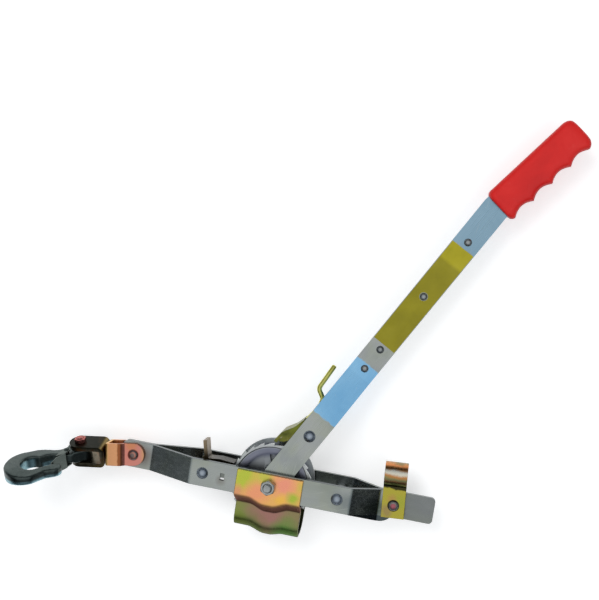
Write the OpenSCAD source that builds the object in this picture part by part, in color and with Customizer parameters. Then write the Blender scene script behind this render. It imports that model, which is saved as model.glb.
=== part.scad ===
// Rope-type come-along puller: ratchet wheel between two spread side plates, long ratchet
// handle, anchor hook on a swivel at the left and a plain end plate at the right.
// X runs along the frame, Y is the handle side, Z is the axle. It lies on its rear side, and
// the origin is on the axle axis in the resting plane.

/* [Side plates] */
// Width of the strap that the side plates are cut from
strip_w = 25.4; // [22:0.1:30]
// Thickness of a side plate
plate_t = 4; // [3:0.1:5]
// Half the length of the straight middle of a side plate
flat_half = 77; // [74:1:90]
// Distance from the axle to the bend where the plates meet at the hook end
left_bend_x = 122; // [116:1:126]
// Distance from the axle to the bend where the plates meet at the plain end
right_bend_x = 104.5; // [100:0.5:108]
// Distance from the axle to the right end of the front plate
front_end_x = 129; // [128:1:134]
// Radius of the wider pad at the right end of the front plate
pad_r = 15; // [13:0.5:15]
// Distance from the axle to the middle of that pad
pad_x = 105.5; // [102:0.5:107]
// How far that pad's middle lies below the plate's middle
pad_drop = 3; // [1:0.5:3]
// Distance from the axle to the plain end of the rear plate
rear_end_x = 157; // [145:1:175]
// Distance from the axle to each frame rivet
frame_rivet_x = 65.5; // [64:0.5:68]
// Shank diameter of the frame rivets
frame_rivet_d = 7; // [5:0.5:8]
// Outer diameter of the spacer sleeves round the frame rivets
spacer_d = 12; // [11:0.5:12.5]
// Length of the small slot that anchors the stop dog's spring
slot_len = 7; // [5:0.5:9]
// Width of that slot
slot_w = 4.2; // [3:0.1:5]
// Distance from the axle to the slot
slot_x = 46; // [44:0.5:50]

/* [Axle] */
// Diameter of the axle bolt
axle_d = 8; // [6:0.5:9]
// Width across the flats of its head and nut
axle_hex_af = 12.7; // [11:0.1:15]
// Height of the head and of the nut
axle_hex_h = 6; // [4:0.5:8]
// Outer diameter of the sleeve that the wheel and the handle turn on
axle_sleeve_d = 14; // [12:0.5:14]

/* [Rope wheel] */
// Outer radius of the wheel, over the ratchet teeth
wheel_r = 39.5; // [38:0.5:40]
// Width of the wheel
wheel_w = 28; // [26:0.5:28]
// Radius at the bottom of the rope groove
groove_r = 23; // [22:0.5:25]
// Wall thickness of the wheel's rim
rim_t = 3.4; // [3:0.1:4]
// Number of ratchet teeth
tooth_count = 24; // [20:1:30]
// Depth of a ratchet tooth
tooth_depth = 2.4; // [1.5:0.1:3]
// Number of spokes
spoke_count = 6; // [4:2:8]
// Width of a spoke
spoke_w = 6; // [5:0.5:7]
// Depth of the pockets between the spokes
pocket_depth = 6; // [4:0.5:6.5]
// Radius of the circle that the wheel's rivets stand on
wheel_rivet_r = 15.4; // [15:0.1:16]
// Shank diameter of the wheel's rivets
wheel_rivet_d = 4; // [3:0.5:4.5]
// Wall of the bush in the wheel
bush_wall = 2; // [1.5:0.1:2.5]

/* [Handle] */
// Angle of the handle above the frame
handle_angle = 60.5; // [50:0.5:75]
// Thickness of a handle strap
strap_t = 4; // [3.5:0.1:4]
// Distance from the axle to where the straps start to close together
strap_bend_start = 83; // [80:1:86]
// Distance from the axle to where the straps meet
strap_bend_end = 134; // [132:1:136]
// Distance from the axle to the bend into the grip
grip_bend_r = 335; // [320:1:360]
// Angle that the grip is tipped by
grip_tilt = 8; // [0:0.5:12]
// Distance from the axle to the dog's pin
dog_pin_r = 61.2; // [60:0.2:62]
// Diameter of the dog's pin
dog_pin_d = 8; // [6:0.5:9]
// Distance from the axle to the first handle rivet
handle_rivet_first = 142.6; // [142:0.2:146]
// Distance from the first to the second handle rivet
handle_rivet_step = 23.4; // [20:0.2:25]
// Distance from the axle to the third handle rivet, through the label
handle_rivet_third = 230.6; // [210:0.2:250]
// Distance from the axle to the last handle rivet
handle_rivet_last = 295.4; // [292:0.2:305]
// Shank diameter of the handle rivets
handle_rivet_d = 4.6; // [3.5:0.1:5]
// Distance from the axle to the start of the label
label_start = 171.8; // [171:0.2:175]
// Length of the label
label_len = 116.4; // [100:0.2:118]
// Thickness of the label
label_t = 0.3; // [0.2:0.05:0.5]

/* [Grip] */
// Length of the grip
grip_len = 101; // [99:1:115]
// Distance from the bend in the straps to the start of the grip
grip_start = 3; // [1:0.5:5]
// Distance from the strap's middle to the back of the grip
grip_back = 15.5; // [14.5:0.5:17]
// Distance from the strap's middle to the top of the finger bumps
grip_front = 18.6; // [17:0.2:20]
// Thickness of the grip
grip_t = 22; // [18:0.5:26]
// Distance from one finger bump to the next
finger_pitch = 22.5; // [21:0.1:23]
// Depth of the finger grooves
finger_depth = 4.2; // [2:0.2:4.6]
// How far the straps reach into the grip
strap_in_grip = 88; // [70:1:94]

/* [Drive dog] */
// Width of the drive dog
dog_w = 25; // [22:0.5:25]
// Wall of the drive dog
dog_t = 3; // [2.5:0.1:3.5]
// Diameter of the finger rod
rod_d = 4.6; // [3.5:0.1:5]

/* [Stop dog] */
// Width of the stop dog
stop_w = 16; // [14:0.5:18]
// Wall of the stop dog
stop_t = 3.6; // [3:0.1:4]
// Height of its thumb finger above the rivet
stop_finger_h = 29; // [24:1:32]

/* [Dog springs] */
// Wire diameter of the dog springs
spring_wire = 1.2; // [1:0.1:1.3]
// Pitch of the dog springs
spring_pitch = 1.75; // [1.75:0.05:1.9]
// Turns of a dog spring
spring_turns = 4; // [3:1:5]

/* [Rope guard] */
// Length of the guard along the frame
guard_len = 64; // [58:1:70]
// Sheet thickness of the guard
guard_t = 3; // [2:0.1:3.4]
// Height of the guard's ears above the axle
guard_top = 11.4; // [10:0.2:12.4]
// Depth of the guard below the axle
guard_depth = 51; // [48:0.5:53]
// Width over the guard's lower walls
guard_body_w = 38; // [37:0.5:40]
// Bend radius of the guard's ears
guard_bend_r = 3; // [2:0.5:4]
// Radius of the guard's rounded bottom
guard_bottom_r = 12; // [9:0.5:14]

/* [Rope guide] */
// Distance from the axle to the middle of the rope guide
guide_x = 118.4; // [118:0.2:121]
// Length of the rope guide along the frame
guide_len = 21.8; // [20:0.2:22]
// Sheet thickness of the rope guide
guide_t = 2.5; // [2:0.1:3]
// Height of the rope above the frame's middle
guide_rope_y = 28.6; // [28:0.2:30]
// How far the rope guide is turned on its rivet, in degrees
guide_turn = 4; // [0:0.5:4]
// Outer radius of the guide's arch
guide_arch_r = 12.1; // [12:0.1:13]
// Shank diameter of the guide's rivet
guide_rivet_d = 7; // [5:0.5:7]

/* [Clevis] */
// Distance from the axle to the clevis pin
clevis_pin_x = 140; // [137:0.5:142]
// Diameter of the clevis pin
clevis_pin_d = 8; // [6:0.5:9]
// Angle that the hook end hangs down by
clevis_droop = 8.5; // [0:0.5:20]
// Sheet thickness of the clevis
clevis_t = 3; // [2.5:0.1:3.2]
// Width of the clevis
clevis_w = 22; // [21:0.5:25]
// Distance from the clevis pin to the outside of the clevis
clevis_len = 28; // [27:0.5:34]
// Half the distance between the middles of the clevis's outer walls
clevis_half = 9.4; // [9:0.1:10]
// Distance from the clevis pin to where the clevis widens
clevis_step_x = 9; // [8:0.5:12]

/* [Swivel] */
// Turn of the hook about the swivel
swivel_turn = 70; // [0:1:90]
// Diameter of the swivel stud
stud_d = 8; // [6:0.5:9]
// Sheet thickness of the yoke
yoke_t = 4.5; // [4:0.1:5]
// Width of the yoke
yoke_w = 22; // [20:0.5:23]
// Gap between the yoke's arms
yoke_gap = 13.6; // [12.4:0.2:14]
// Distance from the clevis pin to the hook bolt
hook_bolt_dist = 55; // [54:0.5:62]
// Diameter of the hook bolt
hook_bolt_d = 6.5; // [6:0.5:8]
// Width across the flats of the hook bolt's head and nut
hook_hex_af = 10; // [9.5:0.5:13]
// Height of that head and of the nut
hook_hex_h = 4; // [3.5:0.5:6]

/* [Hook] */
// Turn of the hook about its bolt
hook_turn = 36; // [0:1:50]
// Thickness of the hook
hook_t = 12.4; // [9:0.2:12.4]
// Thickness of the hook's neck, between the cheeks of the latch
hook_neck_t = 9.2; // [8:0.2:10]
// Thickness of the hook's point
hook_point_t = 7.6; // [6:0.2:9]
// Radius of the hook's eye
hook_eye_r = 9.8; // [9:0.1:10]
// Outer radius of the hook's bowl
bowl_outer_r = 21.5; // [20.5:0.1:22.5]
// Inner radius of the hook's bowl
bowl_inner_r = 10.8; // [10:0.1:11.5]
// Distance from the hook bolt to the middle of the bowl's outside
bowl_x = 55.5; // [54:0.1:57]
// Diameter of the latch's pin
latch_pin_d = 3; // [2.5:0.1:3.2]
// Sheet thickness of the latch
latch_t = 1.2; // [1:0.1:1.4]
// Room beside the hook for the latch's spring
latch_side_room = 2.5; // [2.4:0.1:3]
// Wire diameter of the latch's spring
latch_wire = 0.6; // [0.5:0.05:0.6]

/* [Hidden] */
$fn = 64;
fit = 0.05;             // radial clearance of a shaft in its hole
gap = 0.3;              // clearance between faces that slide past each other
strap_play = 0.5;       // clearance on each side of a handle strap, to the wheel and to the plate
plate_gap = wheel_w + 2 * (strap_t + 2 * strap_play);
bend_steps = 5;         // straight pieces in a bent corner
head_ratio = 1.64;      // rivet head diameter over shank diameter
dome_ratio = 0.27;      // rivet head height over head diameter
half_w = strip_w / 2;
mid_z = axle_hex_h + guard_t + plate_t + plate_gap / 2;
plate_in = plate_gap / 2;
plate_out = plate_in + plate_t;
plate_mid = plate_in + plate_t / 2;
strap_out = plate_in - strap_play;
strap_mid = strap_out - strap_t / 2;
strap_in = strap_out - strap_t;
handle_rivet_rs = [
  handle_rivet_first, handle_rivet_first + handle_rivet_step, handle_rivet_third, handle_rivet_last
];
handle_head_d = handle_rivet_d * head_ratio;
pin_head_d = dog_pin_d * 1.44;
clevis_ear = plate_t + gap + clevis_t / 2;
neck_side = hook_neck_t / 2;
latch_in = neck_side + latch_side_room;
latch_out = latch_in + latch_t;
yoke_base = clevis_len + 0.7;
latch_pivot = [15.5, 2.5];
latch_spring_z = neck_side + 0.35;

function unit(v) = v / norm(v);
function side(v) = [-v[1], v[0]];
// Points of the round that a bend of radius r puts on corner b of the line a, b, c
function bend_points(a, b, c, r) =
  let(
    u = unit(a - b),
    v = unit(c - b),
    half = acos(u * v) / 2,
    turn = 180 - 2 * half,
    o = b + unit(u + v) * r / sin(half),
    p = b + u * r / tan(half) - o,
    q = b + v * r / tan(half) - o
  )
  [for (i = [0:bend_steps]) let(k = i / bend_steps)
    o + (p * sin((1 - k) * turn) + q * sin(k * turn)) / sin(turn)];
function bent_path(pts, r) = [
  pts[0],
  for (i = [1:len(pts) - 2]) each bend_points(pts[i - 1], pts[i], pts[i + 1], r),
  pts[len(pts) - 1]
];
// One side of a strip of the given half thickness along a path
function strip_side(path, d) =
  let(last = len(path) - 1)
  [for (i = [0:last])
    let(
      before = side(unit(path[max(i, 1)] - path[max(i, 1) - 1])),
      after = side(unit(path[min(i, last - 1) + 1] - path[min(i, last - 1)])),
      n = unit(before + after)
    )
    path[i] + n * d / (n * after)];
// Points of an arc about c
function arc(c, r, from, to, n) =
  [for (i = [0:n]) let(a = from + (to - from) * i / n) c + r * [cos(a), sin(a)]];
function reversed(list) = [for (i = [len(list) - 1:-1:0]) list[i]];
module strip_profile(path, t) {
  polygon(concat(strip_side(path, t / 2), reversed(strip_side(path, -t / 2))));
}
// A bent strip whose profile lies in X and Z, centred on Y
module sheet_along_y(path, t, w) {
  rotate([90, 0, 0]) linear_extrude(w, center = true) strip_profile(path, t);
}
// A bent strip whose profile lies in Y and Z, centred on X
module sheet_along_x(path, t, w) {
  rotate([90, 0, 90]) linear_extrude(w, center = true) strip_profile(path, t);
}
// An outline with a round end about its origin and a straight run to x
module round_ended(x, w) {
  circle(d = w);
  translate([min(0, x), -w / 2]) square([abs(x), w]);
}
module rounded_rect(x0, x1, w, r) {
  translate([x0, -w / 2 + r]) square([x1 - x0, w - 2 * r]);
  translate([x0 + r, -w / 2]) square([x1 - x0 - 2 * r, w]);
  for (x = [x0 + r, x1 - r], y = [-w / 2 + r, w / 2 - r]) translate([x, y]) circle(r);
}
// A domed head of diameter d standing on Z = 0
module dome(d, h) {
  ball = (d * d / 4 + h * h) / (2 * h);
  intersection() {
    translate([0, 0, h - ball]) sphere(ball);
    translate([0, 0, 0]) cylinder(d = d + 1, h = h + 1);
  }
}
// A rivet along Z from z0 to z1, domed at both ends
module rivet(d, head_d, z0, z1) {
  translate([0, 0, z0]) cylinder(d = d, h = z1 - z0);
  translate([0, 0, z1]) dome(head_d, head_d * dome_ratio);
  translate([0, 0, z0]) mirror([0, 0, 1]) dome(head_d, head_d * dome_ratio);
}
module hex(af, h) {
  rotate(30) cylinder(d = af / cos(30), h = h, $fn = 6);
}
module tube(d_out, d_in, z0, z1) {
  difference() {
    translate([0, 0, z0]) cylinder(d = d_out, h = z1 - z0);
    translate([0, 0, z0 - 1]) cylinder(d = d_in, h = z1 - z0 + 2);
  }
}
module at_mid() {
  translate([0, 0, mid_z]) children();
}
module at_handle() {
  at_mid() rotate(handle_angle) children();
}
module at_clevis() {
  translate([-clevis_pin_x, 0, mid_z]) rotate(180 + clevis_droop) children();
}
// Frame of the swivel: X away from the frame, Z along the hook bolt
module at_swivel() {
  at_clevis() rotate([swivel_turn, 0, 0]) children();
}
module at_hook() {
  at_swivel() translate([hook_bolt_dist, 0, 0]) rotate(hook_turn) children();
}

// Wound wire: points along the run of a torsion spring with two straight legs
rings_per_turn = 8;
function spring_points(r, turns, pitch, start, leg_a, leg_b) =
  let(
    n = turns * rings_per_turn,
    sweep = 360 / rings_per_turn,
    coil = [for (i = [0:n]) let(a = start + i * sweep)
      [r * cos(a), r * sin(a), pitch * i / rings_per_turn]],
    out_a = [sin(start), -cos(start), 0],
    finish = start + n * sweep,
    out_b = [-sin(finish), cos(finish), 0]
  )
  concat([coil[0] + out_a * leg_a], coil, [coil[n] + out_b * leg_b]);
function least_gap(pts, wire) =
  min([for (i = [0:len(pts) - 1], j = [0:len(pts) - 1])
    if (j - i > rings_per_turn / 2) norm(pts[i] - pts[j])]) - wire;
module wire_tube(pts, d, ring_sides = 6) {
  last = len(pts) - 1;
  rings = [for (i = [0:last])
    let(
      t = unit(pts[min(i + 1, last)] - pts[max(i - 1, 0)]),
      a = unit(cross(t, [0, 0, 1])),
      b = cross(a, t)
    )
    for (k = [0:ring_sides - 1])
      pts[i] + (a * cos(k * 360 / ring_sides) + b * sin(k * 360 / ring_sides)) * d / 2];
  walls = [for (i = [0:last - 1], k = [0:ring_sides - 1])
    let(p = i * ring_sides + k, q = i * ring_sides + (k + 1) % ring_sides)
    each [[p, q, p + ring_sides], [q, q + ring_sides, p + ring_sides]]];
  caps = [for (k = [1:ring_sides - 2]) each [
    [0, k + 1, k],
    [last * ring_sides, last * ring_sides + k, last * ring_sides + k + 1]]];
  polyhedron(rings, concat(walls, caps));
}

/* Frame */
function plate_path(left, right) = bent_path([
  [-left, plate_t / 2], [-left_bend_x, plate_t / 2], [-flat_half, plate_mid],
  [flat_half, plate_mid], [right_bend_x, plate_t / 2], [right, plate_t / 2]
], plate_t * 1.5);
module plate_outline(right, corner) {
  rounded_rect(-clevis_pin_x - half_w, strip_w, strip_w, 5);
  rounded_rect(-strip_w, right, strip_w, corner);
}
module front_pad() {
  hull() {
    translate([pad_x, -pad_drop]) circle(pad_r);
    translate([flat_half, -half_w]) square([pad_x - flat_half, half_w]);
  }
}
module plate_holes() {
  circle(d = axle_d + 2 * fit);
  for (x = [-frame_rivet_x, frame_rivet_x]) translate([x, 0]) circle(d = frame_rivet_d + 2 * fit);
  translate([-clevis_pin_x, 0]) circle(d = clevis_pin_d + 2 * fit);
  translate([guide_x, 0]) circle(d = guide_rivet_d + 2 * fit);
}
module spring_slot() {
  translate([-slot_x - slot_w / 2, -slot_len / 2]) square([slot_w, slot_len]);
}
module side_plate(right, corner, front = false) {
  deep = 4 * plate_out;
  left = clevis_pin_x + half_w;
  intersection() {
    sheet_along_y(plate_path(left + 1, right + 1), plate_t, 2 * strip_w);
    linear_extrude(deep, center = true) difference() {
      union() {
        plate_outline(right, corner);
        if (front) front_pad();
      }
      plate_holes();
      if (front) spring_slot();
    }
  }
}
module front_side_plate() {
  color("#b4b8b4") at_mid() side_plate(front_end_x, 8, true);
}
module rear_side_plate() {
  color("#aab0ae") at_mid() mirror([0, 0, 1]) side_plate(rear_end_x, 4);
}

module rope_guard() {
  ear = plate_out + guard_t / 2;
  wall = (guard_body_w - guard_t) / 2;
  low = -guard_depth + guard_t / 2;
  step_top = -half_w - guard_bend_r;
  side_wall = bent_path([
    [guard_top, ear], [step_top, ear], [step_top - (ear - wall), wall], [low + guard_bottom_r, wall]
  ], guard_bend_r);
  bottom = arc([low + guard_bottom_r, wall - guard_bottom_r], guard_bottom_r, 97.5, 180, 11);
  half = concat(side_wall, bottom);
  path = concat(half, [for (p = reversed(half)) [p[0], -p[1]]]);
  color("#c8a75c") at_mid() difference() {
    sheet_along_x(path, guard_t, guard_len);
    cylinder(d = axle_d + 2 * fit, h = 4 * plate_out, center = true);
  }
}

module rope_guide() {
  seat = plate_t + guide_t / 2;
  arch = guide_arch_r - guide_t / 2;
  start = 180 - asin(seat / arch);
  steps = 14;
  path = concat(
    [[-half_w + 0.5, seat]],
    [for (i = [0:steps]) let(a = start * (1 - i / steps) - 10 * i / steps)
      [guide_rope_y + arch * cos(a), arch * sin(a)]]
  );
  color("#c9b35f") at_mid() difference() {
    translate([guide_x, 0, 0]) rotate(guide_turn) sheet_along_x(path, guide_t, guide_len);
    translate([guide_x, 0, 0]) cylinder(d = guide_rivet_d + 2 * fit, h = 4 * seat);
  }
}
module guide_rivet() {
  color("#a9a49c") at_mid() translate([guide_x, 0, 0])
    rivet(guide_rivet_d, guide_rivet_d * head_ratio, -plate_t, plate_t + guide_t);
}

module axle_bolt() {
  face = plate_out + guard_t;
  color("#a8aca6") at_mid() {
    translate([0, 0, -face - axle_hex_h / 2]) cylinder(d = axle_d, h = 2 * face + axle_hex_h * 1.5 + 2);
    translate([0, 0, -face - axle_hex_h]) hex(axle_hex_af, axle_hex_h);
  }
}
module axle_nut() {
  face = plate_out + guard_t;
  color("#9ea39c") at_mid() translate([0, 0, face]) difference() {
    hex(axle_hex_af, axle_hex_h);
    translate([0, 0, -1]) cylinder(d = axle_d + 2 * fit, h = axle_hex_h + 2);
  }
}
module axle_sleeve() {
  color("#8f948f") at_mid() tube(axle_sleeve_d, axle_d + 2 * fit, -plate_in, plate_in);
}
module frame_rivet(x) {
  color("#b6bab8") at_mid() translate([x, 0, 0])
    rivet(frame_rivet_d, frame_rivet_d * head_ratio, -plate_out, plate_out);
}
module left_frame_rivet() {
  frame_rivet(-frame_rivet_x);
}
module right_frame_rivet() {
  frame_rivet(frame_rivet_x);
}
module spacer(x) {
  color("#9aa09a") at_mid() translate([x, 0, 0])
    tube(spacer_d, frame_rivet_d + 2 * fit, -plate_in, plate_in);
}
module left_spacer() {
  spacer(-frame_rivet_x);
}
module right_spacer() {
  spacer(frame_rivet_x);
}
module clevis_pin() {
  outer = plate_t + gap + clevis_t + gap / 2;
  color("#b5a896") at_mid() translate([-clevis_pin_x, 0, 0])
    rivet(clevis_pin_d, clevis_pin_d * 1.4, -outer, outer);
}

// Both dog springs wind round a pivot of radius r between a dog and what carries it
module dog_spring(pivot_r, z, start, leg_a, leg_b) {
  r = pivot_r + spring_wire / 2 + 0.5;
  pts = spring_points(r, spring_turns, spring_pitch, start, leg_a, leg_b);
  echo("least gap in spring", least_gap(pts, spring_wire));
  translate([0, 0, z]) wire_tube(pts, spring_wire);
}
module stop_dog_spring() {
  color("#8d8f8c") at_mid() translate([-frame_rivet_x, 0, 0])
    dog_spring(spacer_d / 2, stop_w / 2 + 1.5, 100, 3, 5);
}
module drive_dog_spring() {
  color("#8d8f8c") at_handle() translate([dog_pin_r, 0, 0])
    dog_spring(dog_pin_d / 2, -spring_turns * spring_pitch / 2, 200, 3, 4);
}

/* Rope wheel */
groove_bottom_half = 1.5;
groove_slope = (wheel_w / 2 - rim_t - groove_bottom_half) / (wheel_r - tooth_depth - groove_r);
bush_d = axle_sleeve_d + 2 * fit + 2 * bush_wall;
land_r = wheel_r - tooth_depth - 1.1;
ring_r = land_r - 6;
hub_r = 13;
module wheel_half_body(rim_r) {
  edge_z = wheel_w / 2 - rim_t;
  rotate_extrude() polygon([
    [bush_d / 2 + fit, 0], [groove_r, 0], [groove_r, groove_bottom_half],
    [rim_r, groove_bottom_half + groove_slope * (rim_r - groove_r)],
    [rim_r, wheel_w / 2], [land_r, wheel_w / 2], [land_r - 1, wheel_w / 2 - 1.2],
    [ring_r, wheel_w / 2 - 1.2], [ring_r - 1, wheel_w / 2 - 1.6], [bush_d / 2 + fit, wheel_w / 2 - 1.6]
  ]);
}
module pockets() {
  floor_z = wheel_w / 2 - pocket_depth;
  translate([0, 0, floor_z]) linear_extrude(pocket_depth + 1) difference() {
    circle(ring_r - 1.5);
    circle(hub_r);
    for (i = [0:spoke_count - 1]) rotate(i * 360 / spoke_count)
      translate([0, -spoke_w / 2]) square([wheel_r, spoke_w]);
    for (i = [0:spoke_count / 2 - 1]) rotate(i * 720 / spoke_count)
      translate([wheel_rivet_r, 0]) circle(d = wheel_rivet_d * head_ratio + 2);
  }
}
module wheel_rivet_holes() {
  for (i = [0:spoke_count / 2 - 1]) rotate(i * 720 / spoke_count)
    translate([wheel_rivet_r, 0, -wheel_w]) cylinder(d = wheel_rivet_d + 2 * fit, h = 2 * wheel_w);
}
tooth_turn = 33;
module toothed_rim() {
  root = wheel_r - tooth_depth;
  step = 360 / tooth_count;
  star = [for (i = [0:tooth_count - 1]) let(a = i * step) each [
    [root * cos(a), root * sin(a)],
    [wheel_r * cos(a), wheel_r * sin(a)],
    [(root + tooth_depth / 2) * cos(a + step / 2), (root + tooth_depth / 2) * sin(a + step / 2)]]];
  translate([0, 0, wheel_w / 2 - rim_t]) linear_extrude(rim_t) difference() {
    rotate(tooth_turn) polygon(star);
    circle(root - 1);
  }
}
spoke_turn = 107;
module wheel_front_half() {
  color("#a7a7ab") at_mid() rotate(spoke_turn) {
    difference() {
      union() {
        wheel_half_body(wheel_r - tooth_depth - 0.6);
        rotate(-spoke_turn) toothed_rim();
      }
      pockets();
      wheel_rivet_holes();
    }
  }
}
module wheel_rear_half() {
  color("#a1a1a5") at_mid() rotate(spoke_turn) mirror([0, 0, 1]) difference() {
    wheel_half_body(wheel_r);
    pockets();
    wheel_rivet_holes();
  }
}
module wheel_bush() {
  color("#a5854c") at_mid()
    tube(bush_d, axle_sleeve_d + 2 * fit, -wheel_w / 2, wheel_w / 2);
}
module wheel_rivets() {
  reach = wheel_w / 2 - 1.6;
  color("#9d9fa2") at_mid() rotate(spoke_turn)
    for (i = [0:spoke_count / 2 - 1]) rotate(i * 720 / spoke_count)
      translate([wheel_rivet_r, 0, 0]) intersection() {
        rivet(wheel_rivet_d, wheel_rivet_d * head_ratio, -reach, reach);
        cylinder(d = wheel_w, h = wheel_w, center = true);
      }
}

/* Handle */
handle_line = [
  [0, 0], [grip_bend_r, 0],
  [grip_bend_r + strap_in_grip * cos(grip_tilt), -strap_in_grip * sin(grip_tilt)]
];
module handle_outline() {
  left = strip_side(handle_line, half_w);
  right = strip_side(handle_line, -half_w);
  polygon(concat(arc([0, 0], half_w, 270, 90, 20), [left[1], left[2], right[2], right[1]]));
}
module handle_strap() {
  path = bent_path([
    [-strip_w, strap_mid], [strap_bend_start, strap_mid], [strap_bend_end, strap_t / 2],
    [grip_bend_r + grip_len, strap_t / 2]
  ], strap_t * 1.5);
  intersection() {
    sheet_along_y(path, strap_t, 4 * strip_w);
    linear_extrude(4 * strap_out, center = true) difference() {
      handle_outline();
      circle(d = axle_sleeve_d + 2 * fit);
      translate([dog_pin_r, 0]) circle(d = dog_pin_d + 2 * fit);
      for (r = handle_rivet_rs) translate([r, 0]) circle(d = handle_rivet_d + 2 * fit);
    }
  }
}
module front_handle_strap() {
  color("#b3b7b3") at_handle() handle_strap();
}
module rear_handle_strap() {
  color("#adb1ae") at_handle() mirror([0, 0, 1]) handle_strap();
}
module handle_rivets() {
  color("#b9bcba") at_handle()
    for (r = handle_rivet_rs) translate([r, 0, 0])
      rivet(handle_rivet_d, handle_head_d, -strap_t, strap_t);
}
module label_plate() {
  color("#b5ab45") at_handle() translate([0, 0, strap_t]) linear_extrude(label_t) difference() {
    translate([label_start, -half_w + 0.6]) square([label_len, strip_w - 1.2]);
    translate([handle_rivet_third, 0]) circle(d = handle_head_d + 0.6);
  }
}

first_bump = 7.5;
grip_round = 6.5;
bump_steps = 10;
module grip_outline() {
  start = grip_start;
  tip = grip_len + start;
  fingers = floor((tip - grip_round - first_bump) / finger_pitch + 0.01);
  front = [for (i = [0:fingers * bump_steps])
    let(s = first_bump + i * finger_pitch / bump_steps)
    [s, -grip_front + finger_depth * (1 - cos(i * 360 / bump_steps)) / 2]];
  polygon(concat(
    [[start, grip_back - 2], [start, -half_w], [start + 2, -grip_front - 0.6]],
    front,
    [for (a = [-80:10:0]) [tip + grip_round * (cos(a) - 1), -grip_front + grip_round * (1 + sin(a))]],
    [for (a = [0:15:90]) [tip - 5 + 5 * cos(a), grip_back - 5 + 5 * sin(a)]],
    [[start + 2, grip_back]]
  ));
}
module handle_grip() {
  corner = 8;
  color("#c63a36") at_handle() translate([grip_bend_r, 0, 0]) rotate(-grip_tilt) difference() {
    intersection() {
      linear_extrude(2 * grip_t, center = true) grip_outline();
      translate([0, (grip_back - grip_front) / 2, 0]) rotate([90, 0, 90])
        linear_extrude(4 * grip_len, center = true) rotate(90)
          rounded_rect(-grip_t / 2, grip_t / 2, grip_back + grip_front + 1, corner);
    }
    rotate(grip_tilt) translate([-grip_bend_r, 0, 0])
      linear_extrude(2 * strap_t + 2 * fit, center = true) strip_profile(handle_line, strip_w + 2 * fit);
  }
}
module drive_dog_pin() {
  color("#b2b5b2") at_handle() translate([dog_pin_r, 0, 0])
    rivet(dog_pin_d, pin_head_d, -strap_out, strap_out);
}

/* Drive dog: a stamped channel on the pin, with a curved back that rides on the wheel */
dog_tip = [33.6, 22.8];
dog_hub_r = 8.5;
module dog_back() {
  path = bent_path([
    [dog_tip[0] + 0.8, dog_tip[1] - 0.6], [46, 21.2], [57, 15.2], [dog_pin_r + 7, 12.4]
  ], 10);
  strip_profile(path, dog_t);
}
module dog_cheek() {
  difference() {
    union() {
      translate([dog_pin_r, 0]) circle(dog_hub_r);
      polygon([
        [dog_tip[0] + 3.2, 20], [46, 19.8], [58, 14.2], [dog_pin_r + 7, 8], [dog_pin_r + 7, -3],
        [dog_pin_r - 7, -4], [50, 8.5], [40, 15.5]
      ]);
    }
    translate([dog_pin_r, 0]) circle(d = dog_pin_d + 2 * fit);
  }
}
module drive_dog() {
  color("#9d9f4e") at_handle() {
    linear_extrude(dog_w, center = true) dog_back();
    for (s = [0, 1]) mirror([0, 0, s])
      translate([0, 0, dog_w / 2 - dog_t]) linear_extrude(dog_t) dog_cheek();
  }
}
rod_line = [[dog_pin_r + 7.7, 11.4], [85, 9.8], [94, 12.6], [99, 22], [125.5, 23.6]];
module finger_rod() {
  color("#a79d3c") at_handle() wire_tube([for (p = bent_path(rod_line, 5)) [p[0], p[1], 0]], rod_d, 16);
}

/* Stop dog: a stamped channel on the left spacer, with a thumb finger and a nose at the wheel */
stop_hub_r = 9.4;
nose_end = frame_rivet_x - wheel_r;
module stop_finger() {
  path = bent_path([
    [nose_end + 0.2, 9.6], [nose_end - 14, 10.8], [-0.5, 9.5], [-2.6, 16], [-5.4, stop_finger_h - 0.8]
  ], 3);
  strip_profile(path, stop_t);
}
module stop_cheek() {
  difference() {
    union() {
      circle(stop_hub_r);
      polygon([[0, 0], [stop_hub_r - 1, -3], [nose_end - 4, 4], [nose_end - 1.2, 9.4], [nose_end - 14, 10.6],
        [-0.5, 9.4], [-2.6, 14], [-5.5, 12]]);
    }
    circle(d = spacer_d + 2 * fit);
  }
}
module stop_dog() {
  color("#a08e5e") at_mid() translate([-frame_rivet_x, 0, 0]) {
    linear_extrude(stop_w, center = true) stop_finger();
    for (s = [0, 1]) mirror([0, 0, s])
      translate([0, 0, stop_w / 2 - stop_t]) linear_extrude(stop_t) stop_cheek();
  }
}

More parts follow.
